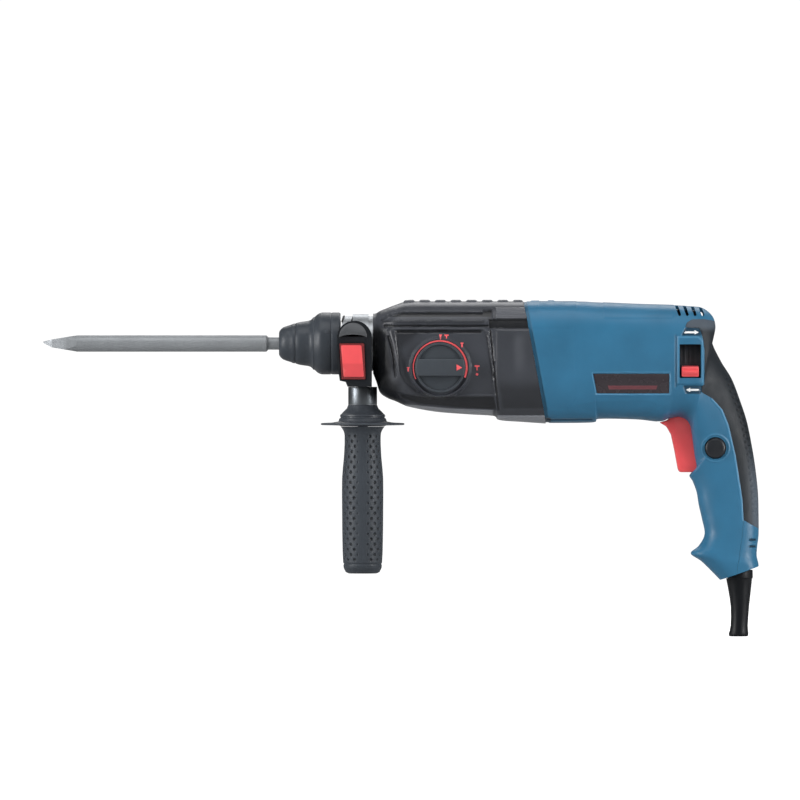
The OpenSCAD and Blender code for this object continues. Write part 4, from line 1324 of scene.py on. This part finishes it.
def make_lock_button():
    button = lathe("lock_button_cap", [
        (-20.9, 0), (-20.7, 3), (-20.5, 5.6), (-20.1, 7.2), (-19.4, 7.9), (-17.9, 8.1), (-17.9, 5),
        (-12.4, 5), (-12.4, 0)
    ], "y", (LOCK[0], 0, LOCK[1]), 64)
    finish_piece(button, "lock_button", "button_black", ["lock_button"])


def sector(inner, outer, start, end, count=9):
    """An outline of y and z about the motor axis."""
    centre = (0, MOTOR_Z)
    return arc(centre, outer, start, end, count) + arc(centre, inner, end, start, count)


def make_direction_knob():
    knob = prism_x("direction_knob_grip", sector(28.7, 37.4, 188.8, 201.2), 316, 329.4)
    soften(knob, 0.8, 3, 40)
    rib = prism_x("rib", sector(36, 38.3, 193.2, 196.8, 5), 316.6, 328.8)
    soften(rib, 0.5, 2, 40)
    carve(knob, rib, how="UNION")
    finish_piece(knob, "brush_ring", "control_red", ["direction_knob"])
    liner = prism_x("direction_liner", sector(27.0, 28.3, 150, 240, 25), 304, 331)
    ribs = [prism_x("rib", sector(28, 29.2, 151, 186, 9), x, x + 1.3) for x in (318.4, 322.4, 326.4)]
    carve(liner, *ribs, how="UNION")
    finish_piece(liner, "brush_ring", "inner_plastic")


def make_boot():
    """Tapered strain relief with a slight lean and a flared end."""
    profile = np.array([
        (-167, 4.2), (-167, 8.9), (-178, 8.9), (-178.2, 10.8), (-184.4, 10.9), (-185.2, 10.2), (-192, 9.2),
        (-200, 8.1), (-207, 7.3), (-215, 6.9), (-222, 6.8), (-226, 7.3), (-227.6, 7.7), (-229.6, 7.7),
        (-230.5, 7.2), (-230.5, 4.2)
    ])
    boot = lathe("cord_boot_sleeve", profile, "z", (BOOT_X, 0, 0), 96)
    soften(boot, 0.3, 2)
    for vert in boot.data.vertices:
        drop = max(0.0, -vert.co.z / MM - 184) / 46
        vert.co.x += (0.9 * math.sin(drop * math.pi) - 0.4 * drop) * MM
    foot = np.array([HANDLE_ROWS[-1][0:2], HANDLE_ROWS[-1][2:4]])
    slope = (foot[1] - foot[0]) / np.linalg.norm(foot[1] - foot[0])
    lift = np.array([-slope[1], slope[0]])
    base = foot[0] - slope * 20 - lift * 0.7
    far = foot[1] + slope * 20 - lift * 0.7
    corners = (base, far, far + lift * 40, base + lift * 40)
    keep_out = prism("foot", [tuple(corner) for corner in corners], -30, 30)
    plug = rod("plug", -200, -120, 9, "z", (BOOT_X, 0, 0))
    carve(keep_out, plug)
    carve(boot, keep_out)
    finish_piece(boot, "housing", "boot_rubber", ["cord_boot"])


# ---- The rest of the frame keeps its shape and takes a finish ----

def dress_frame():
    for part in frame["record"]["subparts"]:
        mesh = nodes[part["node"]].data
        mesh.materials.clear()
        mesh.materials.append(MATERIALS[part["material_slot"]])


add_camera()
add_studio()
add_floor()
dress_frame()
gear_shell = make_gear_housing()
make_handle_shells()
motor_tree = skin_tree(bpy.data.objects["motor_housing_shell"])
gear_tree = skin_tree(gear_shell)
make_plates(motor_tree)
make_arrows(motor_tree)
make_icons(gear_tree)
make_knob()
make_knob_scale()
make_nose()
make_neck_slots()
make_clamp()
make_depth_button()
make_side_grip()
make_guard()
make_stem()
make_trigger()
make_lock_button()
make_direction_knob()
make_boot()
